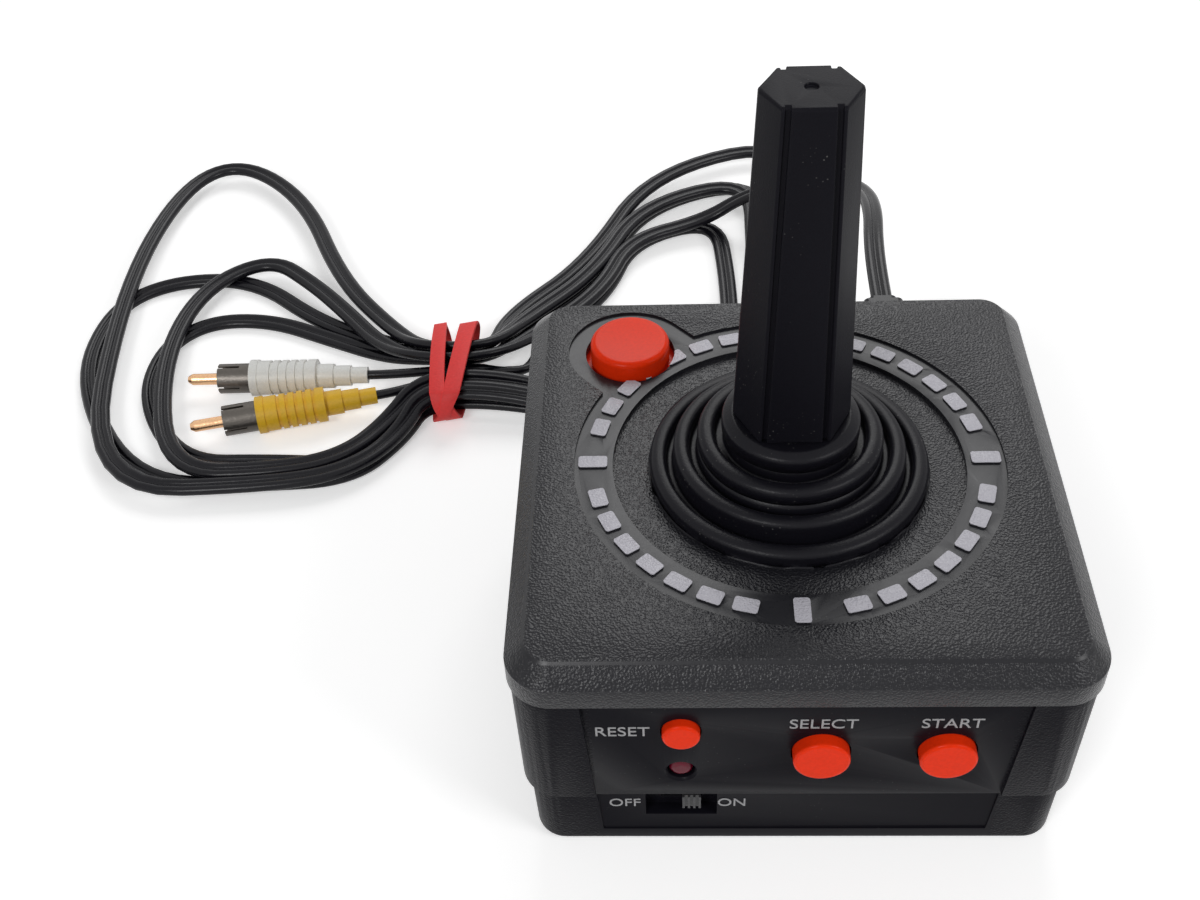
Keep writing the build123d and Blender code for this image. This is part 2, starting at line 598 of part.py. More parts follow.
# Lower housing with the battery bay, the screw posts and the recess of the power switch
with BuildPart() as lower_housing:
    base_foot = rounded_square(BASE_FOOT_WIDTH, BASE_CORNER_R, 0)
    extrude(base_foot, amount=BASE_HEIGHT, taper=-draft(BASE_TAPER, BASE_HEIGHT))
    fillet(lower_housing.edges().group_by(Axis.Z)[0], BASE_EDGE_R)
    extrude(rounded_square(BASE_LIP_OUTER, HOUSING_INNER_R - LIP_GAP, BASE_HEIGHT), amount=BASE_LIP_HEIGHT)
    base_cavity = rounded_square(BASE_INNER, BASE_CORNER_R - BASE_WALL, FLOOR_THICKNESS)
    extrude(base_cavity, amount=BASE_HEIGHT - BASE_LIP_HEIGHT - FLOOR_THICKNESS, mode=Mode.SUBTRACT)
    bore_r = HOUSING_INNER_R - LIP_GAP - LIP_THICKNESS
    base_bore = rounded_square(BASE_LIP_INNER, bore_r, BASE_HEIGHT - BASE_LIP_HEIGHT)
    extrude(base_bore, amount=2 * BASE_LIP_HEIGHT, mode=Mode.SUBTRACT)
    extrude(panel_outline(LOWER_PANEL_Y), amount=CASE_WIDTH, mode=Mode.SUBTRACT)
    with BuildSketch():
        with Locations(*CORNERS):
            Circle(BASE_POST_R)
    extrude(amount=BASE_HEIGHT)
    with BuildSketch():
        with Locations(*CORNERS):
            Circle(CASE_SCREW_R + CASE_SCREW_HOLE_GAP)
    extrude(amount=BASE_HEIGHT, mode=Mode.SUBTRACT)
    with BuildSketch():
        with Locations(*CORNERS):
            Circle(CASE_SCREW_HEAD_R + COUNTERBORE_GAP)
    extrude(amount=CASE_SCREW_DEPTH + CASE_SCREW_HEAD, mode=Mode.SUBTRACT)
    # Bay, block over the door's tabs and block for the door's screw
    bay_wall_x = BAY_HALF_X + BAY_WALL
    pocket_end_y = DOOR_BACK_Y + TAB_POCKET_LENGTH
    with BuildSketch():
        span(-bay_wall_x, bay_wall_x, -BAY_HALF_Y - BAY_WALL, BAY_HALF_Y + BAY_WALL)
    extrude(amount=BAY_ROOF_Z + BAY_WALL)
    with BuildSketch():
        span(-bay_wall_x, bay_wall_x, BAY_HALF_Y, pocket_end_y + BAY_WALL)
    extrude(amount=FLOOR_THICKNESS + TAB_POCKET_HEIGHT + BAY_WALL)
    tongue_room = DOOR_TONGUE_WIDTH / 2 + DOOR_GAP
    with BuildSketch():
        boss_x = tongue_room + DOOR_BOSS_RIM
        span(-boss_x, boss_x, TONGUE_END_Y - DOOR_BOSS_RIM, -BAY_HALF_Y)
    extrude(amount=FLOOR_THICKNESS + DOOR_BOSS_HEIGHT)
    with BuildSketch():
        span(-BAY_HALF_X, BAY_HALF_X, -BAY_HALF_Y, BAY_HALF_Y)
    extrude(amount=BAY_ROOF_Z, mode=Mode.SUBTRACT)
    with BuildSketch():
        span(-BAY_HALF_X, BAY_HALF_X, 0, DOOR_BACK_Y)
        span(-tongue_room, tongue_room, TONGUE_END_Y, 0)
    extrude(amount=FLOOR_THICKNESS, mode=Mode.SUBTRACT)
    with BuildSketch():
        span(-BAY_HALF_X, BAY_HALF_X, BAY_HALF_Y + BAY_WALL, DOOR_BACK_Y)
    extrude(amount=FLOOR_THICKNESS + TAB_POCKET_HEIGHT, mode=Mode.SUBTRACT)
    tab_room = DOOR_TAB_WIDTH / 2 + TAB_POCKET_SIDE
    with BuildSketch(Plane.XY.offset(FLOOR_THICKNESS)):
        span(-DOOR_TAB_X - tab_room, -DOOR_TAB_X + tab_room, DOOR_BACK_Y, pocket_end_y)
        span(DOOR_TAB_X - tab_room, DOOR_TAB_X + tab_room, DOOR_BACK_Y, pocket_end_y)
    extrude(amount=TAB_POCKET_HEIGHT, mode=Mode.SUBTRACT)
    with BuildSketch():
        with Locations((0, DOOR_SCREW_Y)):
            Circle(DOOR_SCREW_R + DOOR_SCREW_GAP)
    extrude(amount=FLOOR_THICKNESS + DOOR_SCREW_REACH + DOOR_SCREW_ROOM, mode=Mode.SUBTRACT)
    # Switch recess with the thicker wall behind it, and the slot of the knob
    recess_x = SWITCH_RECESS_WIDTH / 2
    recess_z = SWITCH_RECESS_HEIGHT / 2
    with BuildSketch(front_plane(SWITCH_BACK_Y)):
        span(
            SWITCH_X - recess_x - SWITCH_BACKING_RIM,
            SWITCH_X + recess_x + SWITCH_BACKING_RIM,
            SWITCH_Z - recess_z - SWITCH_BACKING_RIM,
            BASE_HEIGHT,
        )
    extrude(amount=SWITCH_BACK_Y - LOWER_PANEL_Y)
    with BuildSketch(front_plane(SWITCH_WALL_Y)):
        span(SWITCH_X - recess_x, SWITCH_X + recess_x, SWITCH_Z - recess_z, SWITCH_Z + recess_z)
    extrude(amount=SWITCH_RECESS_DEPTH, mode=Mode.SUBTRACT)
    with BuildSketch(front_plane(SWITCH_BACK_Y)):
        with Locations((SWITCH_X, SWITCH_Z)):
            Rectangle(SWITCH_SLOT_LENGTH, SWITCH_SLOT_HEIGHT)
    extrude(amount=SWITCH_BACKING, mode=Mode.SUBTRACT)
save(lower_housing.part, "lower_housing")

# Battery door with two hook tabs at its rear edge and a tongue for its screw
with BuildPart() as battery_door:
    with BuildSketch():
        span(-BAY_HALF_X + DOOR_GAP, BAY_HALF_X - DOOR_GAP, DOOR_FRONT_Y + DOOR_GAP, HINGE_Y)
        span(-DOOR_TONGUE_WIDTH / 2, DOOR_TONGUE_WIDTH / 2, TONGUE_END_Y + DOOR_GAP, 0)
    extrude(amount=DOOR_THICKNESS)
    tab_bottom = FLOOR_THICKNESS + DOOR_TAB_GAP
    for x in (-DOOR_TAB_X, DOOR_TAB_X):
        tab_start = x - DOOR_TAB_WIDTH / 2
        tab_end = x + DOOR_TAB_WIDTH / 2
        with BuildSketch():
            span(tab_start, tab_end, HINGE_Y - DOOR_TAB_FOOT, HINGE_Y)
        extrude(amount=tab_bottom + DOOR_TAB_THICKNESS)
        with BuildSketch(Plane.XY.offset(tab_bottom)):
            span(tab_start, tab_end, HINGE_Y - DOOR_TAB_FOOT, HINGE_Y + DOOR_TAB_REACH)
        extrude(amount=DOOR_TAB_THICKNESS)
    with BuildSketch():
        with Locations((0, DOOR_SCREW_Y)):
            Circle(DOOR_SCREW_HEAD_R + COUNTERBORE_GAP)
    extrude(amount=DOOR_SCREW_SINK + DOOR_SCREW_HEAD, mode=Mode.SUBTRACT)
    with BuildSketch():
        with Locations((0, DOOR_SCREW_Y)):
            Circle(DOOR_SCREW_R + SCREW_CLEARANCE)
    extrude(amount=DOOR_THICKNESS, mode=Mode.SUBTRACT)
    # Finger grooves
    with BuildSketch():
        with Locations((0, DOOR_FRONT_Y + DOOR_GRIP_COUNT * DOOR_GRIP_PITCH)):
            with GridLocations(0, DOOR_GRIP_PITCH, 1, DOOR_GRIP_COUNT):
                Rectangle(DOOR_GRIP_LENGTH, DOOR_GRIP_WIDTH)
    extrude(amount=DOOR_GRIP_DEPTH, mode=Mode.SUBTRACT)
save(battery_door.part, "battery_door")


# Screws: a head with a crossed slot and a shank, one node for each kind
def screws(plane, points, head_radius, head, shank_radius, shank):
    with BuildPart() as group:
        with BuildSketch(plane):
            with Locations(*points):
                Circle(head_radius)
        extrude(amount=head)
        with BuildSketch(plane):
            with Locations(*points):
                Circle(shank_radius)
        extrude(amount=head + shank)
        with BuildSketch(plane):
            with Locations(*points):
                Rectangle(SCREW_SLOT_LENGTH, SCREW_SLOT_WIDTH)
                Rectangle(SCREW_SLOT_WIDTH, SCREW_SLOT_LENGTH)
        extrude(amount=SCREW_SLOT_DEPTH, mode=Mode.SUBTRACT)
    return group.part


def ring_points(radius, count, start):
    angles = [radians(start + 360 * i / count) for i in range(count)]
    return [(radius * cos(a), radius * sin(a)) for a in angles]


case_screws = screws(
    Plane.XY.offset(CASE_SCREW_DEPTH),
    CORNERS,
    CASE_SCREW_HEAD_R,
    CASE_SCREW_HEAD,
    CASE_SCREW_R,
    CASE_SCREW_LENGTH,
)
save(case_screws, "case_screws")

door_screw = screws(
    Plane.XY.offset(DOOR_SCREW_SINK),
    [(0, DOOR_SCREW_Y)],
    DOOR_SCREW_HEAD_R,
    DOOR_SCREW_HEAD,
    DOOR_SCREW_R,
    FLOOR_THICKNESS + DOOR_SCREW_REACH - DOOR_SCREW_SINK - DOOR_SCREW_HEAD,
)
save(door_screw, "door_screw")

board_points = ring_points(BOARD_POST_RADIUS, BOARD_POST_COUNT, 0)
board_screws = screws(
    Plane.XY.offset(BOARD_UNDER_Z - SMALL_SCREW_HEAD),
    board_points,
    SMALL_SCREW_HEAD_R,
    SMALL_SCREW_HEAD,
    SMALL_SCREW_R,
    SMALL_SCREW_LENGTH,
)
save(board_screws, "board_screws")

front_screws = screws(
    front_plane(FRONT_BOARD_Y + FRONT_BOARD_THICKNESS + SMALL_SCREW_HEAD),
    FRONT_BOARD_POSTS,
    SMALL_SCREW_HEAD_R,
    SMALL_SCREW_HEAD,
    SMALL_SCREW_R,
    SMALL_SCREW_LENGTH,
)
save(front_screws, "front_board_screws")

plate_screws = screws(
    Plane.XY.offset(PLATE_UNDER_Z - SMALL_SCREW_HEAD),
    ring_points(PLATE_SCREW_RADIUS, PLATE_SCREW_COUNT, PLATE_SCREW_ANGLE),
    SMALL_SCREW_HEAD_R,
    SMALL_SCREW_HEAD,
    SMALL_SCREW_R,
    DISC_UNDER_Z + PLATE_SCREW_BITE - SEAT_GAP - PLATE_UNDER_Z,
)
save(plate_screws, "plate_screws")

# Pivot plate: a disc with a rim that clamps the boot, and two lugs for the gimbal
lug_inner_x = LUG_START
lug_outer_x = LUG_START + LUG_THICKNESS
with BuildPart() as pivot_plate:
    with BuildSketch(Plane.XY.offset(PLATE_UNDER_Z)):
        Circle(PIVOT_PLATE_R)
    extrude(amount=PIVOT_PLATE_THICKNESS)
    with BuildSketch(Plane.XY.offset(PLATE_TOP_Z)):
        Circle(PIVOT_PLATE_R)
        Circle(PLATE_RIM_R, mode=Mode.SUBTRACT)
    extrude(amount=DISC_UNDER_Z - PLATE_TOP_Z)
    with BuildSketch(Plane.XY.offset(PIVOT_Z - LUG_DROP)):
        span(-lug_outer_x, -lug_inner_x, -LUG_WIDTH / 2, LUG_WIDTH / 2)
        span(lug_inner_x, lug_outer_x, -LUG_WIDTH / 2, LUG_WIDTH / 2)
    extrude(amount=PLATE_UNDER_Z - PIVOT_Z + LUG_DROP)
    with BuildSketch(Plane.XY.offset(PLATE_UNDER_Z)):
        Circle(PIVOT_PLATE_HOLE_R)
    extrude(amount=PIVOT_PLATE_THICKNESS, mode=Mode.SUBTRACT)
    with BuildSketch(Plane.YZ):
        with Locations((0, PIVOT_Z)):
            Circle(PIVOT_PIN_R + PIVOT_CLEARANCE)
    extrude(amount=lug_outer_x, both=True, mode=Mode.SUBTRACT)
    with BuildSketch(Plane.XY.offset(PLATE_UNDER_Z)):
        with PolarLocations(PLATE_SCREW_RADIUS, PLATE_SCREW_COUNT, PLATE_SCREW_ANGLE):
            Circle(SMALL_HOLE_R)
    extrude(amount=DISC_UNDER_Z - PLATE_UNDER_Z, mode=Mode.SUBTRACT)
save(pivot_plate.part, "pivot_plate")

# Gimbal ring: pins along X turn in the lugs, bores along Y carry the stick
with BuildPart() as gimbal_ring:
    with BuildSketch(Plane.XY.offset(PIVOT_Z - GIMBAL_HEIGHT / 2)):
        Circle(GIMBAL_OUTER_R)
    extrude(amount=GIMBAL_HEIGHT)
    with BuildSketch(Plane.YZ):
        with Locations((0, PIVOT_Z)):
            Circle(PIVOT_PIN_R)
    extrude(amount=lug_outer_x - PIVOT_PIN_CUT, both=True)
    with BuildSketch(Plane.XY.offset(PIVOT_Z - GIMBAL_HEIGHT / 2)):
        Circle(GIMBAL_INNER_R)
    extrude(amount=GIMBAL_HEIGHT, mode=Mode.SUBTRACT)
    with BuildSketch(Plane.XZ):
        with Locations((0, PIVOT_Z)):
            Circle(PIVOT_PIN_R + PIVOT_CLEARANCE)
    extrude(amount=GIMBAL_OUTER_R, both=True, mode=Mode.SUBTRACT)
save(gimbal_ring.part, "gimbal_ring")

# Stick core: pins along Y, the shaft inside the handle, and the flange that presses the direction pad
with BuildPart() as stick_core:
    with BuildSketch(Plane.XY.offset(PIVOT_Z - CORE_HEIGHT / 2)):
        Circle(CORE_R)
    extrude(amount=CORE_HEIGHT)
    with BuildSketch(Plane.XZ):
        with Locations((0, PIVOT_Z)):
            Circle(PIVOT_PIN_R)
    extrude(amount=GIMBAL_OUTER_R - PIVOT_PIN_CUT, both=True)
    with BuildSketch(Plane.XY.offset(PIVOT_Z)):
        Circle(SHAFT_R)
    extrude(amount=SHAFT_TOP_Z - PIVOT_Z)
    flange_bottom = PIVOT_Z - FLANGE_DROP - FLANGE_THICKNESS
    with BuildSketch(Plane.XY.offset(flange_bottom)):
        Circle(CORE_NECK_R)
    extrude(amount=PIVOT_Z - flange_bottom)
    with BuildSketch(Plane.XY.offset(flange_bottom)):
        Circle(FLANGE_R)
    extrude(amount=FLANGE_THICKNESS)
save(stick_core.part, "stick_core")


# Handle section: a clipped hexagon whose front and back faces rise between two grooves
def handle_section(z, inset):
    share = (z - HANDLE_BOTTOM_Z) / (HANDLE_TOP_Z - HANDLE_BOTTOM_Z)
    half_x = HANDLE_BOTTOM_HALF[0] + (HANDLE_TOP_HALF[0] - HANDLE_BOTTOM_HALF[0]) * share - inset
    half_y = HANDLE_BOTTOM_HALF[1] + (HANDLE_TOP_HALF[1] - HANDLE_BOTTOM_HALF[1]) * share - inset
    face = HANDLE_BOTTOM_FACE + (HANDLE_TOP_FACE - HANDLE_BOTTOM_FACE) * share
    shoulder_y = half_y - HANDLE_FACE_RISE
    groove_start = face - HANDLE_GROOVE_INSET
    groove_end = groove_start - HANDLE_GROOVE_WIDTH
    quarter = [
        (half_x, HANDLE_SIDE_FLAT),
        (face, shoulder_y),
        (groove_start, shoulder_y),
        (groove_start, shoulder_y - HANDLE_GROOVE_DEPTH),
        (groove_end, shoulder_y - HANDLE_GROOVE_DEPTH),
        (groove_end, half_y),
    ]
    back = quarter + [(-x, y) for x, y in reversed(quarter)]
    front = [(-x, -y) for x, y in back]
    with BuildSketch(Plane.XY.offset(z)) as section:
        with BuildLine():
            Polyline(*back, *front, close=True)
        make_face()
    return section.sketch


with BuildPart() as handle:
    bevel_start = HANDLE_TOP_Z - HANDLE_TOP_BEVEL
    handle_foot = handle_section(HANDLE_BOTTOM_Z, 0)
    handle_shoulder = handle_section(bevel_start, 0)
    handle_top = handle_section(HANDLE_TOP_Z, HANDLE_TOP_BEVEL)
    loft(sections=[handle_foot, handle_shoulder, handle_top], ruled=True)
    with BuildSketch(Plane.XY.offset(HANDLE_BOTTOM_Z)):
        Circle(SHAFT_R + SHAFT_GAP)
    extrude(amount=SHAFT_TOP_Z - HANDLE_BOTTOM_Z, mode=Mode.SUBTRACT)
    with BuildSketch(Plane.XY.offset(HANDLE_TOP_Z)):
        Circle(DIMPLE_R)
    extrude(amount=-DIMPLE_DEPTH, mode=Mode.SUBTRACT)
save(handle.part, "handle")

# Rubber boot: collar, three ridges and the flange under the lid
boot_outer = [(COLLAR_TOP_R, COLLAR_TOP_Z), (COLLAR_R, COLLAR_TOP_Z - COLLAR_BEVEL)]
boot_inner = []
inner_r = COLLAR_R
for outer_r, top_z, valley_z in BOOT_STEPS:
    rim_r = outer_r - BOOT_RIM
    boot_outer += [(inner_r, valley_z), (rim_r, valley_z), (rim_r, top_z), (outer_r, top_z)]
    boot_inner += [(inner_r - BOOT_WALL, valley_z - BOOT_WALL), (outer_r - BOOT_WALL, valley_z - BOOT_WALL)]
    inner_r = outer_r
flange_top_z = DISC_UNDER_Z
flange_bottom_z = DISC_UNDER_Z - BOOT_FLANGE_THICKNESS
boot_outer += [(inner_r, flange_top_z), (BOOT_FLANGE_R, flange_top_z), (BOOT_FLANGE_R, flange_bottom_z)]
sleeve_r = SHAFT_R + SHAFT_SLEEVE_GAP
sleeve = [(sleeve_r, COLLAR_TOP_Z), (sleeve_r, COLLAR_UNDER_Z), (COLLAR_R - BOOT_WALL, COLLAR_UNDER_Z)]
boot_inner = sleeve + boot_inner
boot_inner += [(inner_r - BOOT_WALL, flange_bottom_z)]
with BuildPart() as boot:
    with BuildSketch(Plane.XZ) as boot_profile:
        with BuildLine():
            Polyline(*boot_outer, *reversed(boot_inner), close=True)
        make_face()
        for outer_r, top_z, valley_z in BOOT_STEPS:
            ridge = boot_profile.vertices().filter_by(lambda v: abs(v.Z - top_z) < BOOT_EDGE_R)
            fillet(ridge, BOOT_EDGE_R)
    revolve(axis=Axis.Z)
save(boot.part, "boot")

# Fire button: a dished cap with a flange under the lid and a stem over its rubber dome
fire_top = LID_TOP_Z + FIRE_HEIGHT
fire_flange_z = LID_UNDER_Z - SEAT_GAP - FIRE_FLANGE_THICKNESS
fire_dome_top = BOARD_TOP_Z + FIRE_DOME_HEIGHT
with BuildPart() as fire_button:
    with BuildSketch(Plane.XY.offset(fire_flange_z)):
        with Locations((FIRE_X, FIRE_Y)):
            Circle(FIRE_R)
    extrude(amount=fire_top - fire_flange_z)
    fillet(fire_button.edges().group_by(Axis.Z)[-1], FIRE_EDGE_R)
    with BuildSketch(Plane.XY.offset(fire_flange_z)):
        with Locations((FIRE_X, FIRE_Y)):
            Circle(FIRE_FLANGE_R)
    extrude(amount=FIRE_FLANGE_THICKNESS)
    with BuildSketch(Plane.XY.offset(fire_flange_z)):
        with Locations((FIRE_X, FIRE_Y)):
            Circle(FIRE_R - FIRE_SHELL)
    extrude(amount=fire_top - FIRE_SHELL - fire_flange_z, mode=Mode.SUBTRACT)
    with BuildSketch(Plane.XY.offset(fire_dome_top + SEAT_GAP)):
        with Locations((FIRE_X, FIRE_Y)):
            Circle(FIRE_STEM_R)
    extrude(amount=fire_top - FIRE_SHELL - fire_dome_top - SEAT_GAP)
    # Shallow dish of one large sphere
    dish_r = FIRE_R - FIRE_EDGE_R - FIRE_DISH_RIM
    dish_sphere_r = (dish_r**2 + FIRE_DISH**2) / (2 * FIRE_DISH)
    with Locations((FIRE_X, FIRE_Y, fire_top + dish_sphere_r - FIRE_DISH)):
        Sphere(dish_sphere_r, mode=Mode.SUBTRACT)
save(fire_button.part, "fire_button")

# Rubber dome of the fire button on the main board
with BuildPart() as fire_dome:
    with BuildSketch(Plane.XZ.offset(-FIRE_Y)):
        with BuildLine():
            Polyline(
                (FIRE_X, BOARD_TOP_Z),
                (FIRE_X + FIRE_DOME_R, BOARD_TOP_Z),
                (FIRE_X + FIRE_DOME_TOP_R, fire_dome_top),
                (FIRE_X, fire_dome_top),
                close=True,
            )
        make_face()
    revolve(axis=Axis((FIRE_X, FIRE_Y, 0), (0, 0, 1)))
    with BuildSketch(Plane.XZ.offset(-FIRE_Y)):
        with BuildLine():
            Polyline(
                (FIRE_X, BOARD_TOP_Z),
                (FIRE_X + FIRE_DOME_R - FIRE_DOME_WALL, BOARD_TOP_Z),
                (FIRE_X + FIRE_DOME_TOP_R - FIRE_DOME_WALL, fire_dome_top - FIRE_DOME_WALL),
                (FIRE_X, fire_dome_top - FIRE_DOME_WALL),
                close=True,
            )
        make_face()
    revolve(axis=Axis((FIRE_X, FIRE_Y, 0), (0, 0, 1)), mode=Mode.SUBTRACT)
save(fire_dome.part, "fire_dome")

# Front buttons: a cap, a flange behind the panel and a stem over the pad
pad_front_y = FRONT_BOARD_Y - PAD_THICKNESS
dome_front_y = pad_front_y - DOME_HEIGHT
flange_front_y = PANEL_INNER_Y + SEAT_GAP
for name, (x, z, radius, height) in FRONT_BUTTONS.items():
    cap_front_y = UPPER_PANEL_Y - height
    stem_end_y = dome_front_y - BUTTON_TRAVEL - SEAT_GAP
    with BuildPart() as front_button:
        with BuildSketch(front_plane(flange_front_y)):
            with Locations((x, z)):
                Circle(radius)
        extrude(amount=flange_front_y - cap_front_y)
        fillet(front_button.edges().group_by(Axis.Y)[0], BUTTON_EDGE_R)
        with BuildSketch(front_plane(flange_front_y + BUTTON_FLANGE_THICKNESS)):
            with Locations((x, z)):
                Circle(radius + BUTTON_GAP + BUTTON_FLANGE)
        extrude(amount=BUTTON_FLANGE_THICKNESS)
        with BuildSketch(front_plane(stem_end_y)):
            with Locations((x, z)):
                Circle(BUTTON_STEM_R)
        extrude(amount=stem_end_y - flange_front_y)
    save(front_button.part, name)

button_places = [(x, z) for x, z, radius, height in FRONT_BUTTONS.values()]

# Pad behind the front buttons: one sheet with a raised key under each of them
pad_left = min(x for x, z in button_places) - DOME_R - PAD_MARGIN
pad_right = max(x for x, z in button_places) + DOME_R + PAD_MARGIN
pad_bottom = min(z for x, z in button_places) - DOME_R - PAD_MARGIN
pad_top = max(z for x, z in button_places) + DOME_R + PAD_MARGIN
with BuildPart() as front_pad:
    with BuildSketch(front_plane(FRONT_BOARD_Y)):
        span(pad_left, pad_right, pad_bottom, pad_top)
        with Locations((LED_X, LED_Z)):
            Circle(LED_FLANGE_R + SEAT_GAP, mode=Mode.SUBTRACT)
        with Locations(*FRONT_BOARD_POSTS):
            Circle(FRONT_POST_R + SEAT_GAP, mode=Mode.SUBTRACT)
    extrude(amount=PAD_THICKNESS)
    with BuildSketch(front_plane(pad_front_y)):
        with Locations(*button_places):
            Circle(DOME_R)
    extrude(amount=DOME_HEIGHT)
save(front_pad.part, "front_pad")

# Front board with holes for its screws
with BuildPart() as front_board:
    with BuildSketch(front_plane(FRONT_BOARD_Y + FRONT_BOARD_THICKNESS)):
        span(*FRONT_BOARD_X, *FRONT_BOARD_Z)
        with Locations(*FRONT_BOARD_POSTS):
            Circle(SMALL_HOLE_R, mode=Mode.SUBTRACT)
    extrude(amount=FRONT_BOARD_THICKNESS)
save(front_board.part, "front_board")

# Power lamp: a flanged round lamp with a domed tip
with BuildPart() as power_led:
    with BuildSketch(front_plane(FRONT_BOARD_Y)):
        with Locations((LED_X, LED_Z)):
            Circle(LED_FLANGE_R)
    extrude(amount=LED_FLANGE_HEIGHT)
    led_tip_y = UPPER_PANEL_Y + LED_TIP_DEPTH
    with BuildSketch(front_plane(FRONT_BOARD_Y)):
        with Locations((LED_X, LED_Z)):
            Circle(LED_R)
    extrude(amount=FRONT_BOARD_Y - led_tip_y)
    fillet(power_led.edges().group_by(Axis.Y)[0], LED_TIP_R)
save(power_led.part, "power_led")

# Power switch: a body with a pocket for the knob's foot, and the ribbed knob at its on end
knob_x = SWITCH_X + SWITCH_TRAVEL / 2
pocket_half_x = (KNOB_FOOT_WIDTH + SWITCH_TRAVEL) / 2 + SWITCH_GAP
pocket_half_z = KNOB_FOOT_HEIGHT / 2 + SWITCH_GAP
pocket_depth = KNOB_FOOT_THICKNESS + 2 * SWITCH_GAP
with BuildPart() as switch_body:
    with BuildSketch(front_plane(SWITCH_BACK_Y + SWITCH_BODY_DEPTH)):
        with Locations((SWITCH_X, SWITCH_Z)):
            Rectangle(SWITCH_BODY_WIDTH, SWITCH_BODY_HEIGHT)
    extrude(amount=SWITCH_BODY_DEPTH)
    with BuildSketch(front_plane(SWITCH_BACK_Y + pocket_depth)):
        with Locations((SWITCH_X, SWITCH_Z)):
            Rectangle(2 * pocket_half_x, 2 * pocket_half_z)
    extrude(amount=pocket_depth, mode=Mode.SUBTRACT)
save(switch_body.part, "switch_body")

foot_front_y = SWITCH_BACK_Y + SWITCH_GAP
knob_face_y = foot_front_y - KNOB_LENGTH
with BuildPart() as switch_knob:
    with BuildSketch(front_plane(foot_front_y + KNOB_FOOT_THICKNESS)):
        with Locations((knob_x, SWITCH_Z)):
            Rectangle(KNOB_FOOT_WIDTH, KNOB_FOOT_HEIGHT)
    extrude(amount=KNOB_FOOT_THICKNESS)
    with BuildSketch(front_plane(foot_front_y)):
        with Locations((knob_x, SWITCH_Z)):
            Rectangle(KNOB_WIDTH, KNOB_HEIGHT)
    extrude(amount=KNOB_LENGTH)
    rib_pitch = (KNOB_WIDTH - KNOB_RIB_WIDTH) / (KNOB_RIBS - 1)
    with BuildSketch(front_plane(knob_face_y)):
        with Locations((knob_x, SWITCH_Z)):
            with GridLocations(rib_pitch, 0, KNOB_RIBS, 1):
                Rectangle(KNOB_RIB_WIDTH, KNOB_HEIGHT)
    extrude(amount=KNOB_RIB_HEIGHT)
save(switch_knob.part, "switch_knob")

# Main board with the direction pad, the chip under its blob, other parts and the ribbon to the front board
with BuildPart() as main_board:
    with BuildSketch(Plane.XY.offset(BOARD_UNDER_Z)) as board_outline:
        Rectangle(2 * BOARD_HALF, 2 * BOARD_HALF)
        chamfer(board_outline.vertices(), BOARD_CORNER_CUT)
        with PolarLocations(BOARD_POST_RADIUS, BOARD_POST_COUNT):
            Circle(SMALL_HOLE_R, mode=Mode.SUBTRACT)
    extrude(amount=BOARD_THICKNESS)
save(main_board.part, "main_board")

with BuildPart() as direction_pad:
    with BuildSketch(Plane.XY.offset(BOARD_TOP_Z)):
        Rectangle(2 * DIRECTION_PAD_HALF, 2 * DIRECTION_PAD_HALF)
    extrude(amount=DIRECTION_PAD_THICKNESS)
    with BuildSketch(Plane.XY.offset(BOARD_TOP_Z + DIRECTION_PAD_THICKNESS)):
        with PolarLocations(DIRECTION_DOME_RADIUS, 4):
            Circle(DIRECTION_DOME_R)
    extrude(amount=DIRECTION_DOME_HEIGHT)
save(direction_pad.part, "direction_pad")

with BuildPart() as chip_blob:
    with BuildSketch(Plane.XY.offset(BOARD_UNDER_Z)):
        with Locations((CHIP_X, CHIP_Y)):
            Circle(CHIP_BLOB_R)
    extrude(amount=-CHIP_BLOB_HEIGHT)
    fillet(chip_blob.edges().group_by(Axis.Z)[0], CHIP_BLOB_HEIGHT - CHIP_BLOB_EDGE)
save(chip_blob.part, "chip_blob")

with BuildPart() as board_parts:
    for x, y, width, depth, height in BOARD_PARTS:
        with BuildSketch(Plane.XY.offset(BOARD_UNDER_Z)):
            with Locations((x, y)):
                Rectangle(width, depth)
        extrude(amount=-height)
save(board_parts.part, "board_parts")

front_board_back_y = FRONT_BOARD_Y + FRONT_BOARD_THICKNESS
with BuildPart() as ribbon_cable:
    with BuildSketch(Plane.YZ.offset(RIBBON_X)):
        with BuildLine():
            Polyline(
                (front_board_back_y, BOARD_UNDER_Z),
                (front_board_back_y, BOARD_UNDER_Z - RIBBON_OVERLAP),
                (front_board_back_y + RIBBON_THICKNESS, BOARD_UNDER_Z - RIBBON_OVERLAP),
                (front_board_back_y + RIBBON_THICKNESS, BOARD_UNDER_Z - RIBBON_THICKNESS),
                (-BOARD_HALF + RIBBON_OVERLAP, BOARD_UNDER_Z - RIBBON_THICKNESS),
                (-BOARD_HALF + RIBBON_OVERLAP, BOARD_UNDER_Z),
                close=True,
            )
        make_face()
    extrude(amount=RIBBON_WIDTH / 2, both=True)
save(ribbon_cable.part, "ribbon_cable")


# A wound path: each pair of nodes, as point and direction, is joined by two arcs
def wound_path(nodes):
    with BuildLine() as path:
        for (start, leaving), (end, arriving) in zip(nodes, nodes[1:]):
            chord = end - start
            both = leaving + arriving
            square = 2 * (1 - leaving.dot(arriving))
            along = chord.dot(both)
            if square < STRAIGHT_MARGIN:
                reach = chord.dot(chord) / (4 * chord.dot(arriving))
            else:
                reach = (sqrt(along**2 + square * chord.dot(chord)) - along) / square
            joint = (start + leaving * reach + end - arriving * reach) * 0.5
            first = TangentArc(start, joint, tangent=leaving)
            TangentArc(joint, end, tangent=first % 1)
    return path.wire()


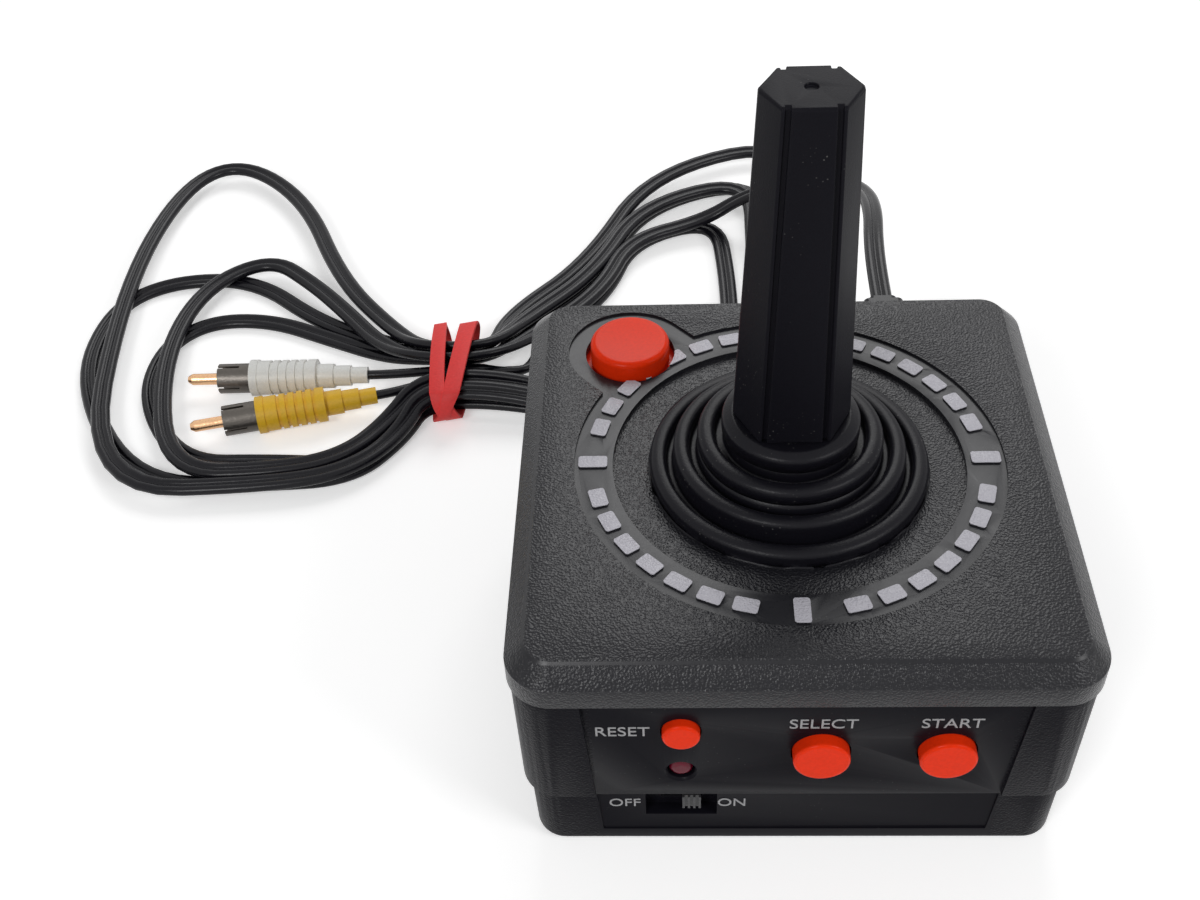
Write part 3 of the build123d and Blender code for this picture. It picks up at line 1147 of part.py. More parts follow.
# Batteries, laid head to tail, with their contact plates and coil springs
cell_span = BAY_LENGTH - 2 * CONTACT_THICKNESS
with BuildPart() as batteries:
    for i, x in enumerate(CELL_X):
        side = 1 if i % 2 == 0 else -1
        tip_y = side * cell_span / 2
        shoulder_y = tip_y - side * CELL_TIP_LENGTH
        with BuildSketch(Plane.XZ.offset(-shoulder_y)):
            with Locations((x, CELL_Z)):
                Circle(CELL_R)
        extrude(amount=side * CELL_LENGTH)
        with BuildSketch(Plane.XZ.offset(-shoulder_y)):
            with Locations((x, CELL_Z)):
                Circle(CELL_TIP_R)
        extrude(amount=-side * CELL_TIP_LENGTH)
save(batteries.part, "batteries")

plates = [(CELL_X[i], CELL_X[i + 1], 1) for i in range(0, CELL_COUNT, 2)]
plates += [(CELL_X[i], CELL_X[i + 1], -1) for i in range(1, CELL_COUNT - 1, 2)]
plates += [(CELL_X[0], CELL_X[0], -1), (CELL_X[-1], CELL_X[-1], -1)]
with BuildPart() as contact_plates:
    for start_x, end_x, side in plates:
        with BuildSketch(Plane.XZ.offset(-side * BAY_HALF_Y)):
            with Locations(((start_x + end_x) / 2, CELL_Z)):
                Rectangle(end_x - start_x + CONTACT_WIDTH, CONTACT_HEIGHT)
        extrude(amount=side * CONTACT_THICKNESS)
save(contact_plates.part, "contact_plates")

spring_length = cell_span - CELL_TIP_LENGTH - CELL_LENGTH - 2 * SPRING_WIRE_R - SPRING_GAP
with BuildPart() as contact_springs:
    for i, x in enumerate(CELL_X):
        side = -1 if i % 2 == 0 else 1
        plate_y = side * (BAY_HALF_Y - CONTACT_THICKNESS - SPRING_WIRE_R)
        coil = []
        for step in range(4 * SPRING_TURNS + 1):
            share = step / (4 * SPRING_TURNS)
            turn = radians(90 * step)
            radius = SPRING_R + (SPRING_TIP_R - SPRING_R) * share
            point = Vector(
                x + radius * cos(turn), plate_y - side * spring_length * share, CELL_Z + radius * sin(turn)
            )
            rise = -side * spring_length / (2 * radians(180) * SPRING_TURNS)
            coil.append((point, Vector(-radius * sin(turn), rise, radius * cos(turn)).normalized()))
        coil_path = wound_path(coil)
        with BuildSketch(Plane(origin=coil_path @ 0, z_dir=coil_path % 0)):
            Circle(SPRING_WIRE_R)
        sweep(path=coil_path)
save(contact_springs.part, "contact_springs")

# Strain relief: a flange inside the wall, a neck that fills the slot, and ribs round a flexible core
with BuildPart() as strain_relief:
    slot_bottom = RELIEF_Z - RELIEF_SLOT_HEIGHT / 2
    flange_start_y = HOUSING_INNER / 2 - RELIEF_FLANGE
    with BuildSketch(back_plane(flange_start_y)):
        span(
            -RELIEF_X - RELIEF_SLOT_WIDTH / 2 - RELIEF_FLANGE,
            -RELIEF_X + RELIEF_SLOT_WIDTH / 2 + RELIEF_FLANGE,
            slot_bottom - RELIEF_FLANGE,
            SEAM_Z - LIP_HEIGHT - RELIEF_GAP,
        )
    extrude(amount=RELIEF_FLANGE)
    with BuildSketch(back_plane(flange_start_y)):
        span(
            -RELIEF_X - RELIEF_SLOT_WIDTH / 2 + RELIEF_GAP,
            -RELIEF_X + RELIEF_SLOT_WIDTH / 2 - RELIEF_GAP,
            slot_bottom + RELIEF_GAP,
            SEAM_Z - RELIEF_GAP,
        )
    extrude(amount=HOUSING_WIDTH / 2 - HOUSING_TAPER - flange_start_y)
    with BuildSketch(back_plane(flange_start_y)):
        with Locations((-RELIEF_X, RELIEF_Z)):
            RectangleRounded(RELIEF_CORE_WIDTH, RELIEF_CORE_HEIGHT, RELIEF_CORNER_R)
    extrude(amount=RELIEF_END_Y - flange_start_y)
    for i in range(RELIEF_RIBS):
        with BuildSketch(back_plane(RELIEF_START_Y + i * RELIEF_RIB_PITCH)):
            with Locations((-RELIEF_X, RELIEF_Z)):
                RectangleRounded(
                    RELIEF_WIDTH - i * RELIEF_RIB_STEP, RELIEF_HEIGHT - i * RELIEF_RIB_STEP, RELIEF_CORNER_R
                )
        extrude(amount=RELIEF_RIB_PITCH - RELIEF_RIB_GAP)
save(strain_relief.part, "strain_relief")


# Hank: from the innermost loop out in the upper layer, then in again on the floor
def hank_node(k):
    upper = k <= HANK_LAYER_NODES
    loop = RIGHT_NODES + (UPPER_LEFT_NODES if upper else FLOOR_LEFT_NODES)
    growth = (k if upper else HANK_NODES - k) / len(loop)
    x, y, step_x, step_y, heading = loop[(HANK_FIRST_PHASE + k) % len(loop)]
    lift = (LAYER_STEP if upper else 0) + (WAIST_LIFT if x == WAIST_X else 0)
    shift = HANK_END_SHIFT if k == HANK_NODES else 0
    point = Vector(x + step_x * growth + shift, y + step_y * growth, STRAND_Z + lift)
    return point, Vector(cos(radians(heading)), sin(radians(heading)), 0)


hank_nodes = [hank_node(k) for k in range(HANK_NODES + 1)]
hank_path = wound_path(hank_nodes)
hank_end = hank_path @ 1
with BuildLine() as hank_line:
    add(hank_path)
    Line(hank_end, hank_end + Vector(-HANK_END_REACH, 0, 0))
hank_wire = hank_line.wire()
with BuildPart() as cord_hank:
    with BuildSketch(Plane(origin=hank_path @ 0, z_dir=hank_path % 0)):
        Circle(CORD_R)
    sweep(path=hank_wire)
save(cord_hank.part, "cord_hank")


# Least gap of the hank to itself, between samples further apart along it than the tightest bend
hank_length = hank_wire.length
sample_count = int(hank_length / HANK_SAMPLE_STEP)
hank_samples = [hank_wire @ (i / sample_count) for i in range(sample_count + 1)]
nearest = hank_length
for i, a in enumerate(hank_samples):
    for b in hank_samples[i + HANK_SAMPLES_APART :]:
        nearest = min(nearest, (a - b).length)
tube_volume = radians(180) * CORD_R**2 * hank_length
print(f"hank {hank_length:.0f} mm, volume over section and length {cord_hank.part.volume / tube_volume:.4f}")
print(f"hank least gap to itself {nearest - 2 * CORD_R:.2f} mm")


# Free cords: straight runs joined by arcs as large as the runs allow
def cord_route(points):
    route = [Vector(*p) for p in points]
    runs = [b - a for a, b in zip(route, route[1:])]
    radii = []
    for before, after in zip(runs, runs[1:]):
        half_turn = radians(before.get_angle(after)) / 2
        radii.append(ARC_SHARE * min(before.length, after.length) / tan(half_turn))
    with BuildLine() as path:
        FilletPolyline(*route, radius=radii)
    return path.wire(), radii


def free_cord(name, points, radius):
    path, radii = cord_route(points)
    with BuildPart() as cord:
        with BuildSketch(Plane(origin=path @ 0, z_dir=path % 0)):
            Circle(radius)
        sweep(path=path)
    section = radians(180) * radius**2
    print(f"{name} {path.length:.0f} mm, radii {[round(r, 1) for r in radii]},")
    print(f"volume over section and length {cord.part.volume / (section * path.length):.4f}")
    save(cord.part, name)
    return cord.part


hank_start, hank_heading = hank_nodes[0]
lead_points = [(RELIEF_X, RELIEF_END_Y, RELIEF_Z), *LEAD_POINTS]
lead_points += [tuple(hank_start - hank_heading * LEAD_LAST_RUN), tuple(hank_start)]
free_cord("cord_lead", lead_points, CORD_R)

# Rubber band: two turns round the strands at the waist
def band_outline(x, margin):
    edges = (x - BAND_WIDTH / 2, x + BAND_WIDTH / 2)
    strands = [p for p in hank_samples if min(abs(p.X - edge) for edge in edges) < HANK_SAMPLE_STEP / 2]
    with BuildSketch(Plane.YZ.offset(edges[0])) as outline:
        with Locations(*[(p.Y, p.Z) for p in strands]):
            Circle(CORD_R + margin)
        make_hull()
    return outline.sketch


with BuildPart() as rubber_band:
    for x in BAND_X:
        extrude(band_outline(x, BAND_GAP + BAND_THICKNESS), amount=BAND_WIDTH)
        extrude(band_outline(x, BAND_GAP), amount=BAND_WIDTH, mode=Mode.SUBTRACT)
save(rubber_band.part, "rubber_band")

# Plugs: a stepped relief, a grooved handle, a slotted shell and a pin, along the heading of the pin
plug_z = FLOOR_GAP + PLUG_COLLAR_R
handle_start = PLUG_RELIEF_LENGTH
handle_end = PLUG_RELIEF_LENGTH + PLUG_HANDLE_LENGTH
for name, (tail, heading, bend_x, side) in PLUGS.items():
    direction = Vector(cos(radians(heading)), sin(radians(heading)), 0)
    end = Vector(*tail, plug_z)
    split = hank_wire @ 1 + Vector(0, side * LEAD_SPREAD, 0)
    bend = Vector(bend_x, split.Y, split.Z)
    lead_route = [tuple(split), tuple(bend), tuple(end - direction * PLUG_LAST_RUN), tuple(end)]
    free_cord(f"{name}_lead", lead_route, LEAD_R)

    def along(distance):
        return Plane(origin=end + direction * distance, x_dir=(0, 0, 1), z_dir=direction)

    with BuildPart() as plug_body:
        relief_step = PLUG_RELIEF_LENGTH / PLUG_RELIEF_STEPS
        for i in range(PLUG_RELIEF_STEPS):
            share = i / (PLUG_RELIEF_STEPS - 1)
            with BuildSketch(along(i * relief_step)):
                Circle(PLUG_RELIEF_TIP_R + (PLUG_RELIEF_R - PLUG_RELIEF_TIP_R) * share)
            extrude(amount=relief_step)
        with BuildSketch(along(handle_start)):
            Circle(PLUG_R)
        extrude(amount=PLUG_HANDLE_LENGTH)
        with BuildSketch(along(handle_end - PLUG_COLLAR_LENGTH)):
            Circle(PLUG_COLLAR_R)
        extrude(amount=PLUG_COLLAR_LENGTH)
        for i in range(PLUG_GROOVES):
            with BuildSketch(along(handle_start + (i + 1) * PLUG_GROOVE_PITCH)):
                Circle(PLUG_R)
                Circle(PLUG_R - PLUG_GROOVE_DEPTH, mode=Mode.SUBTRACT)
            extrude(amount=PLUG_GROOVE_WIDTH, mode=Mode.SUBTRACT)
        with BuildSketch(along(handle_end - SHELL_SEAT)):
            Circle(SHELL_R + PLUG_FIT)
            Circle(SHELL_BORE_R - PLUG_FIT, mode=Mode.SUBTRACT)
        extrude(amount=SHELL_SEAT, mode=Mode.SUBTRACT)
        with BuildSketch(along(handle_end - SHELL_SEAT)):
            Circle(PIN_R + PLUG_FIT)
        extrude(amount=SHELL_SEAT, mode=Mode.SUBTRACT)
    save(plug_body.part, f"{name}_plug_body")

    with BuildPart() as plug_shell:
        shell_start = handle_end - SHELL_SEAT
        with BuildSketch(along(shell_start)):
            Circle(SHELL_R)
            Circle(SHELL_BORE_R, mode=Mode.SUBTRACT)
        extrude(amount=SHELL_SEAT + SHELL_LENGTH)
        with BuildSketch(along(handle_end + SHELL_LENGTH - SHELL_SLOT_LENGTH)):
            for i in range(SHELL_SLOTS // 2):
                Rectangle(2 * SHELL_R, SHELL_SLOT_WIDTH, rotation=360 * i / SHELL_SLOTS)
        extrude(amount=SHELL_SLOT_LENGTH, mode=Mode.SUBTRACT)
    save(plug_shell.part, f"{name}_plug_shell")

    with BuildPart() as plug_pin:
        pin_end = handle_end + PIN_LENGTH
        with BuildSketch(along(shell_start)):
            Circle(PIN_R)
        extrude(amount=pin_end - PIN_TIP_LENGTH - shell_start)
        with BuildSketch(along(pin_end - PIN_TIP_LENGTH)):
            Circle(PIN_R)
        with BuildSketch(along(pin_end)):
            Circle(PIN_TIP_R)
        loft(ruled=True)
    save(plug_pin.part, f"{name}_plug_pin")
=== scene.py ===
# %% [markdown]
# A battery-powered joystick with its cord tied in a hank.
#
# The hard parts come from the CAD model, already at their real places. This file gives them
# their finishes and makes what is soft or flexible: the flat twin cord, the rubber band and the
# boot. Lengths here are written in millimetres and multiplied by MM, because Blender works in metres.

# %% Load the parts
import json
from math import cos, pi, radians, sin, sqrt, tan

import bmesh
import bpy
from mathutils import Matrix, Vector


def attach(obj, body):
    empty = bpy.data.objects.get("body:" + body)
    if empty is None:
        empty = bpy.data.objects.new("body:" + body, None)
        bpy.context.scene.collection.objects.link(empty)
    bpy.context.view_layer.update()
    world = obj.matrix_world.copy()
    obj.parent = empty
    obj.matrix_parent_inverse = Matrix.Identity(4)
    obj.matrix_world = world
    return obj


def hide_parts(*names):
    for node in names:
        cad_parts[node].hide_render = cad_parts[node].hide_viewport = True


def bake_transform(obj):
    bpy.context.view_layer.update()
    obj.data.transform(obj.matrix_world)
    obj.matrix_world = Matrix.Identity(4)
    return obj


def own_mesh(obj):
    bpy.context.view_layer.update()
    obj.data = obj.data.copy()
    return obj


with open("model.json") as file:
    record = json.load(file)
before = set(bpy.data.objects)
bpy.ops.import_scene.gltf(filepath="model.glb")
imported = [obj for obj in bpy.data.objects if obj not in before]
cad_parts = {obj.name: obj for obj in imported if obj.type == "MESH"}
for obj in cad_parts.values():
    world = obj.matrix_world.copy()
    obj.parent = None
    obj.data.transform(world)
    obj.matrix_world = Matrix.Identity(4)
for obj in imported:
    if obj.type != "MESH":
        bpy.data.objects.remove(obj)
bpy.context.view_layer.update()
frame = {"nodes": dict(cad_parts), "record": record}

MM = 0.001

# %% [markdown]
# The camera looks down at the front of the case from a little to the left. It was placed by
# matching the boot's rings and the lid's edges, so its angles aren't round numbers. The small
# shift is there because the picture's centre isn't quite the lens's centre.

# %% Camera
IMAGE_WIDTH, IMAGE_HEIGHT = 1200, 900
FOCAL_PIXELS = 1486.85
LENS_CENTRE = (603.64, 438.00)
PITCH, YAW, ROLL = radians(43.336), radians(-3.474), radians(-3.124)
CAMERA_PLACE = Vector((-24.48, -220.83, 274.26)) * MM
SENSOR = 36.0
CLIP_START = 0.01

view_line = Vector((sin(YAW) * cos(PITCH), cos(YAW) * cos(PITCH), -sin(PITCH)))
level_right = Vector((cos(YAW), -sin(YAW), 0))
level_up = level_right.cross(view_line)
right = cos(ROLL) * level_right + sin(ROLL) * level_up
up = -sin(ROLL) * level_right + cos(ROLL) * level_up

lens = bpy.data.cameras.new("camera")
lens.sensor_width = SENSOR
lens.lens = FOCAL_PIXELS * SENSOR / IMAGE_WIDTH
lens.shift_x = (IMAGE_WIDTH / 2 - LENS_CENTRE[0]) / IMAGE_WIDTH
lens.shift_y = (LENS_CENTRE[1] - IMAGE_HEIGHT / 2) / IMAGE_WIDTH
lens.clip_start = CLIP_START
camera = bpy.data.objects.new("camera", lens)
turn = Matrix((right, up, -view_line)).transposed().to_4x4()
camera.matrix_world = Matrix.Translation(CAMERA_PLACE) @ turn
bpy.context.scene.collection.objects.link(camera)
bpy.context.scene.camera = camera
print("lens", round(lens.lens, 2), "mm")

# %% [markdown]
# The cord is a flat pair of wires, like the figure 8 cut across. A curve that sweeps a profile
# suits it: the spline is the cord's centreline, and the profile gives the groove between the
# wires. A NURBS spline passes smoothly near its control points and never kinks.

# %% Profile and spline helpers
TWIN_WIDTH, TWIN_THICK = 5.2, 2.6
PROFILE_STEPS = 20
WIRE_ARC = 0.82 * pi
SPLINE_STEPS = 8


def link(name, data):
    made = bpy.data.objects.new(name, data)
    bpy.context.scene.collection.objects.link(made)
    return made


def twin_profile():
    """Outline of two touching wires, with the narrow bridge that joins them."""
    wire = TWIN_THICK / 2
    offset = TWIN_WIDTH / 2 - wire
    points = []
    for side in (1, -1):
        for i in range(PROFILE_STEPS + 1):
            angle = -WIRE_ARC + 2 * WIRE_ARC * i / PROFILE_STEPS
            x = offset + wire * cos(angle)
            points.append((side * x, side * wire * sin(angle)))
    curve = bpy.data.curves.new("twin_profile", "CURVE")
    curve.dimensions = "2D"
    spline = curve.splines.new("POLY")
    spline.points.add(len(points) - 1)
    for point, (x, y) in zip(spline.points, points):
        point.co = (x * MM, y * MM, 0, 1)
    spline.use_cyclic_u = True
    made = link("twin_profile", curve)
    made.hide_render = True
    made.hide_viewport = True
    return made


def cord_curve(name, points, tilts=None):
    """One open NURBS spline through the control points, in millimetres."""
    curve = bpy.data.curves.new(name, "CURVE")
    curve.dimensions = "3D"
    curve.twist_mode = "Z_UP"
    curve.resolution_u = SPLINE_STEPS
    spline = curve.splines.new("NURBS")
    spline.points.add(len(points) - 1)
    for i, (point, place) in enumerate(zip(spline.points, points)):
        point.co = (*(c * MM for c in place), 1)
        point.tilt = tilts[i] if tilts else 0
    spline.order_u = 3
    spline.use_endpoint_u = True
    curve.use_fill_caps = True
    return link(name, curve)


# %% [markdown]
# The hank is one length of cord laid in loops and drawn in at the waist by the band. Each loop
# repeats the same eleven places, further out each time, and the left ends fan out: long and aimed
# backwards in the upper layer, wide and low on the floor. Between two places, two control points
# lie where the cord's direction at each end would carry it. At the waist the pair stands at an
# angle, because the strands press on each other there.

# %% The route of the twin cord
WAIST_X, WAIST_Y, WAIST_INNER, WAIST_STEP = -84.0, 90.0, 2.4, 4.7
LAYER_NODES, HANK_NODES, FIRST_PHASE = 22, 46, 3
FLOOR_Z, UPPER_Z = 1.6, 4.5
WAIST_FLOOR_Z, WAIST_UPPER_Z = 4.3, 9.0
END_SHIFT, END_REACH = 12.0, 4.0
WAIST_TILT = radians(45)
RIGHT_END = (
    (WAIST_X, WAIST_Y - WAIST_INNER, 0.0, -WAIST_STEP, 0.0),
    (-32.0, 84.0, 3.0, -5.4, 4.0),
    (-10.0, 122.0, 13.0, 3.0, 90.0),
    (-24.0, 158.0, 8.0, 20.0, 202.0),
    (-52.0, 118.0, -6.0, 4.5, 228.0),
    (WAIST_X, WAIST_Y + WAIST_INNER, 0.0, WAIST_STEP, 180.0),
)
UPPER_LEFT_END = (
    (-114.0, 111.0, 4.6, 4.4, 128.0),
    (-129.4, 119.2, -21.0, 55.0, 138.0),
    (-158.0, 94.0, -18.0, 56.0, 264.0),
    (-134.0, 57.0, 0.0, -5.5, 2.0),
    (-108.0, 68.0, 4.6, -3.4, 52.0),
)
FLOOR_LEFT_END = (
    (-112.0, 101.0, 0.0, 5.5, 155.0),
    (-140.5, 103.6, -14.0, 20.0, 180.0),
    (-156.0, 88.3, -20.5, 16.0, 270.0),
    (-138.7, 65.0, -2.0, -8.0, 0.0),
    (-108.0, 68.0, 4.6, -3.4, 52.0),
)
RELIEF_EXIT = (28.5, 70.4, 44.0)
LEAD = (
    (28.5, 83.0, 44.0),
    (29.2, 97.0, 43.8),
    (30.8, 111.0, 42.2),
    (31.0, 125.0, 38.6),
    (28.0, 138.5, 33.4),
    (21.0, 150.0, 26.6),
    (11.0, 158.5, 19.4),
    (-0.5, 163.6, 12.8),
)
LEAD_LAST_RUN = 12.0
END_MARGIN = 1e-9


def hank_place(k):
    upper = k <= LAYER_NODES
    loop = RIGHT_END + (UPPER_LEFT_END if upper else FLOOR_LEFT_END)
    growth = (k if upper else HANK_NODES - k) / len(loop)
    x, y, step_x, step_y, heading = loop[(FIRST_PHASE + k) % len(loop)]
    waist = x == WAIST_X
    if waist:
        z = WAIST_UPPER_Z if upper else WAIST_FLOOR_Z
    else:
        z = UPPER_Z if upper else FLOOR_Z
    shift = END_SHIFT if k == HANK_NODES else 0
    place = Vector((x + step_x * growth + shift, y + step_y * growth, z))
    return place, Vector((cos(radians(heading)), sin(radians(heading)), 0)), waist


def control_pair(start, leaving, end, arriving):
    chord = end - start
    spread = 2 * (1 - leaving.dot(arriving))
    along = chord.dot(leaving + arriving)
    if spread < END_MARGIN:
        reach = chord.dot(chord) / (4 * chord.dot(arriving))
    else:
        reach = (sqrt(along**2 + spread * chord.dot(chord)) - along) / spread
    return start + leaving * reach, end - arriving * reach


places = [hank_place(k) for k in range(HANK_NODES + 1)]
first, first_heading, _ = places[0]
cord_points = [Vector(RELIEF_EXIT), *map(Vector, LEAD), first - first_heading * LEAD_LAST_RUN]
cord_tilts = [0.0] * len(cord_points)
for (start, leaving, at_start), (end, arriving, at_end) in zip(places, places[1:]):
    cord_points += control_pair(start, leaving, end, arriving)
    cord_tilts += [WAIST_TILT * at_start, WAIST_TILT * at_end]
split = places[-1][0] + Vector((-END_REACH, 0, 0))
cord_points += [places[-1][0], split]
cord_tilts += [WAIST_TILT, 0.0]

profile = twin_profile()
twin_cord = cord_curve("twin_cord", cord_points, cord_tilts)
twin_cord.data.bevel_mode = "OBJECT"
twin_cord.data.bevel_object = profile
print("control points", len(cord_points))

# %% [markdown]
# Past the band the pair splits into two single wires, one for each plug. They are round, so a
# plain round bevel on the curve is right for them.

# %% The two single leads
LEAD_R = 1.3
LEAD_SPREAD = 1.35
LEAD_ROUNDNESS = 6
PLUG_Z = 5.3
PLUG_RUN = 7.5
PLUGS = {
    "video": ((-104.5, 82.0), 193.6, -86.0, -1),
    "audio": ((-108.0, 90.5), 181.0, -84.0, 1),
}
leads = {}
for name, (tail, heading, bend_x, side) in PLUGS.items():
    toward = Vector((cos(radians(heading)), sin(radians(heading)), 0))
    end = Vector((*tail, PLUG_Z))
    start = split + Vector((0, side * LEAD_SPREAD, 0))
    bend = Vector((bend_x, start.y, start.z))
    lead = cord_curve(f"{name}_cord", [start, bend, end - toward * PLUG_RUN, end])
    lead.data.bevel_depth = LEAD_R * MM
    lead.data.bevel_resolution = LEAD_ROUNDNESS
    leads[name] = (lead, start)

# %% [markdown]
# Node groups come next. Several finishes share the same effects: a moulded grain, dust that has
# settled, and edges rubbed bright. Each effect is one group with named inputs, used with other
# values in each material.

# %% Group helpers
def new_group(name, inputs, outputs):
    group = bpy.data.node_groups.new(name, "ShaderNodeTree")
    for label, kind, value in inputs:
        socket = group.interface.new_socket(label, in_out="INPUT", socket_type=kind)
        socket.default_value = value
    for label, kind in outputs:
        group.interface.new_socket(label, in_out="OUTPUT", socket_type=kind)
    return group, group.nodes.new("NodeGroupInput"), group.nodes.new("NodeGroupOutput")


def math_node(tree, operation, first_value, second_value, clamp=False):
    node = tree.nodes.new("ShaderNodeMath")
    node.operation = operation
    node.use_clamp = clamp
    for socket, value in zip(node.inputs, (first_value, second_value)):
        if hasattr(value, "is_output"):
            tree.links.new(value, socket)
        else:
            socket.default_value = value
    return node.outputs[0]


def spread_out(tree, value, low, high):
    node = tree.nodes.new("ShaderNodeMapRange")
    tree.links.new(value, node.inputs["Value"])
    node.inputs["From Min"].default_value = low
    node.inputs["From Max"].default_value = high
    return node.outputs["Result"]


FLOAT = "NodeSocketFloat"

# %% Moulded grain
SOFT_SHARE = 0.35
grain, grain_in, grain_out = new_group(
    "moulded_grain", [("Scale", FLOAT, 1500.0)], [("Height", FLOAT), ("Tone", FLOAT)]
)
where = grain.nodes.new("ShaderNodeTexCoord").outputs["Object"]
pebble = grain.nodes.new("ShaderNodeTexVoronoi")
pebble.feature = "SMOOTH_F1"
soft = grain.nodes.new("ShaderNodeTexNoise")
for texture in (pebble, soft):
    grain.links.new(where, texture.inputs["Vector"])
    grain.links.new(grain_in.outputs["Scale"], texture.inputs["Scale"])
soft_height = math_node(grain, "MULTIPLY", soft.outputs["Fac"], SOFT_SHARE)
grain_height = math_node(grain, "ADD", pebble.outputs["Distance"], soft_height)
grain.links.new(grain_height, grain_out.inputs["Height"])
grain.links.new(soft.outputs["Fac"], grain_out.inputs["Tone"])

# %% Settled dust
SPECK_RANGE = (0.16, 0.08)
PATCH_SCALE, PATCH_RANGE = 90.0, (0.52, 0.70)
dust, dust_in, dust_out = new_group(
    "settled_dust", [("Scale", FLOAT, 900.0), ("Amount", FLOAT, 0.3)], [("Mask", FLOAT)]
)
where = dust.nodes.new("ShaderNodeTexCoord").outputs["Object"]
specks = dust.nodes.new("ShaderNodeTexVoronoi")
patches = dust.nodes.new("ShaderNodeTexNoise")
patches.inputs["Scale"].default_value = PATCH_SCALE
for texture in (specks, patches):
    dust.links.new(where, texture.inputs["Vector"])
dust.links.new(dust_in.outputs["Scale"], specks.inputs["Scale"])
near = spread_out(dust, specks.outputs["Distance"], *SPECK_RANGE)
patchy = spread_out(dust, patches.outputs["Fac"], *PATCH_RANGE)
speckled = math_node(dust, "MULTIPLY", near, patchy)
dusted = math_node(dust, "MULTIPLY", speckled, dust_in.outputs["Amount"], True)
dust.links.new(dusted, dust_out.inputs["Mask"])

# %% Rubbed edges
EDGE_RANGE = (0.995, 0.86)
edge, edge_in, edge_out = new_group(
    "rubbed_edge", [("Radius", FLOAT, 0.0006), ("Amount", FLOAT, 0.5)], [("Mask", FLOAT)]
)
rounded = edge.nodes.new("ShaderNodeBevel")
edge.links.new(edge_in.outputs["Radius"], rounded.inputs["Radius"])
plain = edge.nodes.new("ShaderNodeNewGeometry")
match = edge.nodes.new("ShaderNodeVectorMath")
match.operation = "DOT_PRODUCT"
edge.links.new(rounded.outputs["Normal"], match.inputs[0])
edge.links.new(plain.outputs["Normal"], match.inputs[1])
at_edge = spread_out(edge, match.outputs["Value"], *EDGE_RANGE)
worn = math_node(edge, "MULTIPLY", at_edge, edge_in.outputs["Amount"], True)
edge.links.new(worn, edge_out.inputs["Mask"])
print("node groups:", [g.name for g in bpy.data.node_groups])

# %% [markdown]
# One helper places the groups in a material. The shader itself stays in the material, with its
# gloss and metal set on its own sockets.

# %% Finish helper
TONE_LOW, TONE_HIGH = 0.88, 1.12
RUBBED_GAIN, RUBBED_LIFT = 2.2, 0.06
DUST_TINT = (0.62, 0.61, 0.58)
SMOOTHER, ROUGHER = 0.05, 0.07
GRAIN_DEPTH = 0.0002


def finish(name, color, roughness, grained=0.0, grain_scale=1500.0, dusty=0.0, rubbed=0.0, **sockets):
    """A material of one base colour with grain, dust and rubbed edges mixed in."""
    material = bpy.data.materials.new(name)
    material.use_nodes = True
    tree = material.node_tree
    shader = tree.nodes["Principled BSDF"]
    for label, value in sockets.items():
        shader.inputs[label.replace("_", " ")].default_value = value
    texture = tree.nodes.new("ShaderNodeGroup")
    texture.node_tree = grain
    texture.inputs["Scale"].default_value = grain_scale
    tone = tree.nodes.new("ShaderNodeMix")
    tone.data_type = "RGBA"
    tone.inputs["A"].default_value = (*(c * TONE_LOW for c in color), 1)
    tone.inputs["B"].default_value = (*(min(1, c * TONE_HIGH) for c in color), 1)
    tree.links.new(texture.outputs["Tone"], tone.inputs["Factor"])
    shade = tone.outputs["Result"]
    bright = tuple(min(1, c * RUBBED_GAIN + RUBBED_LIFT) for c in color)
    layers = ((edge, rubbed, bright), (dust, dusty, DUST_TINT))
    for group, amount, tint in layers:
        if not amount:
            continue
        mask = tree.nodes.new("ShaderNodeGroup")
        mask.node_tree = group
        mask.inputs["Amount"].default_value = amount
        over = tree.nodes.new("ShaderNodeMix")
        over.data_type = "RGBA"
        tree.links.new(mask.outputs["Mask"], over.inputs["Factor"])
        tree.links.new(shade, over.inputs["A"])
        over.inputs["B"].default_value = (*tint, 1)
        shade = over.outputs["Result"]
    tree.links.new(shade, shader.inputs["Base Color"])
    uneven = tree.nodes.new("ShaderNodeMapRange")
    uneven.inputs["To Min"].default_value = max(0, roughness - SMOOTHER)
    uneven.inputs["To Max"].default_value = min(1, roughness + ROUGHER)
    tree.links.new(texture.outputs["Tone"], uneven.inputs["Value"])
    tree.links.new(uneven.outputs["Result"], shader.inputs["Roughness"])
    if grained:
        bump = tree.nodes.new("ShaderNodeBump")
        bump.inputs["Strength"].default_value = grained
        bump.inputs["Distance"].default_value = GRAIN_DEPTH
        tree.links.new(texture.outputs["Height"], bump.inputs["Height"])
        tree.links.new(bump.outputs["Normal"], shader.inputs["Normal"])
    return material


# %% [markdown]
# The finishes. The case has a pebbled grain that catches the light. The handle and the boot are
# rubber, the buttons are a glossy orange-red, and the plugs are soft moulded plastic.

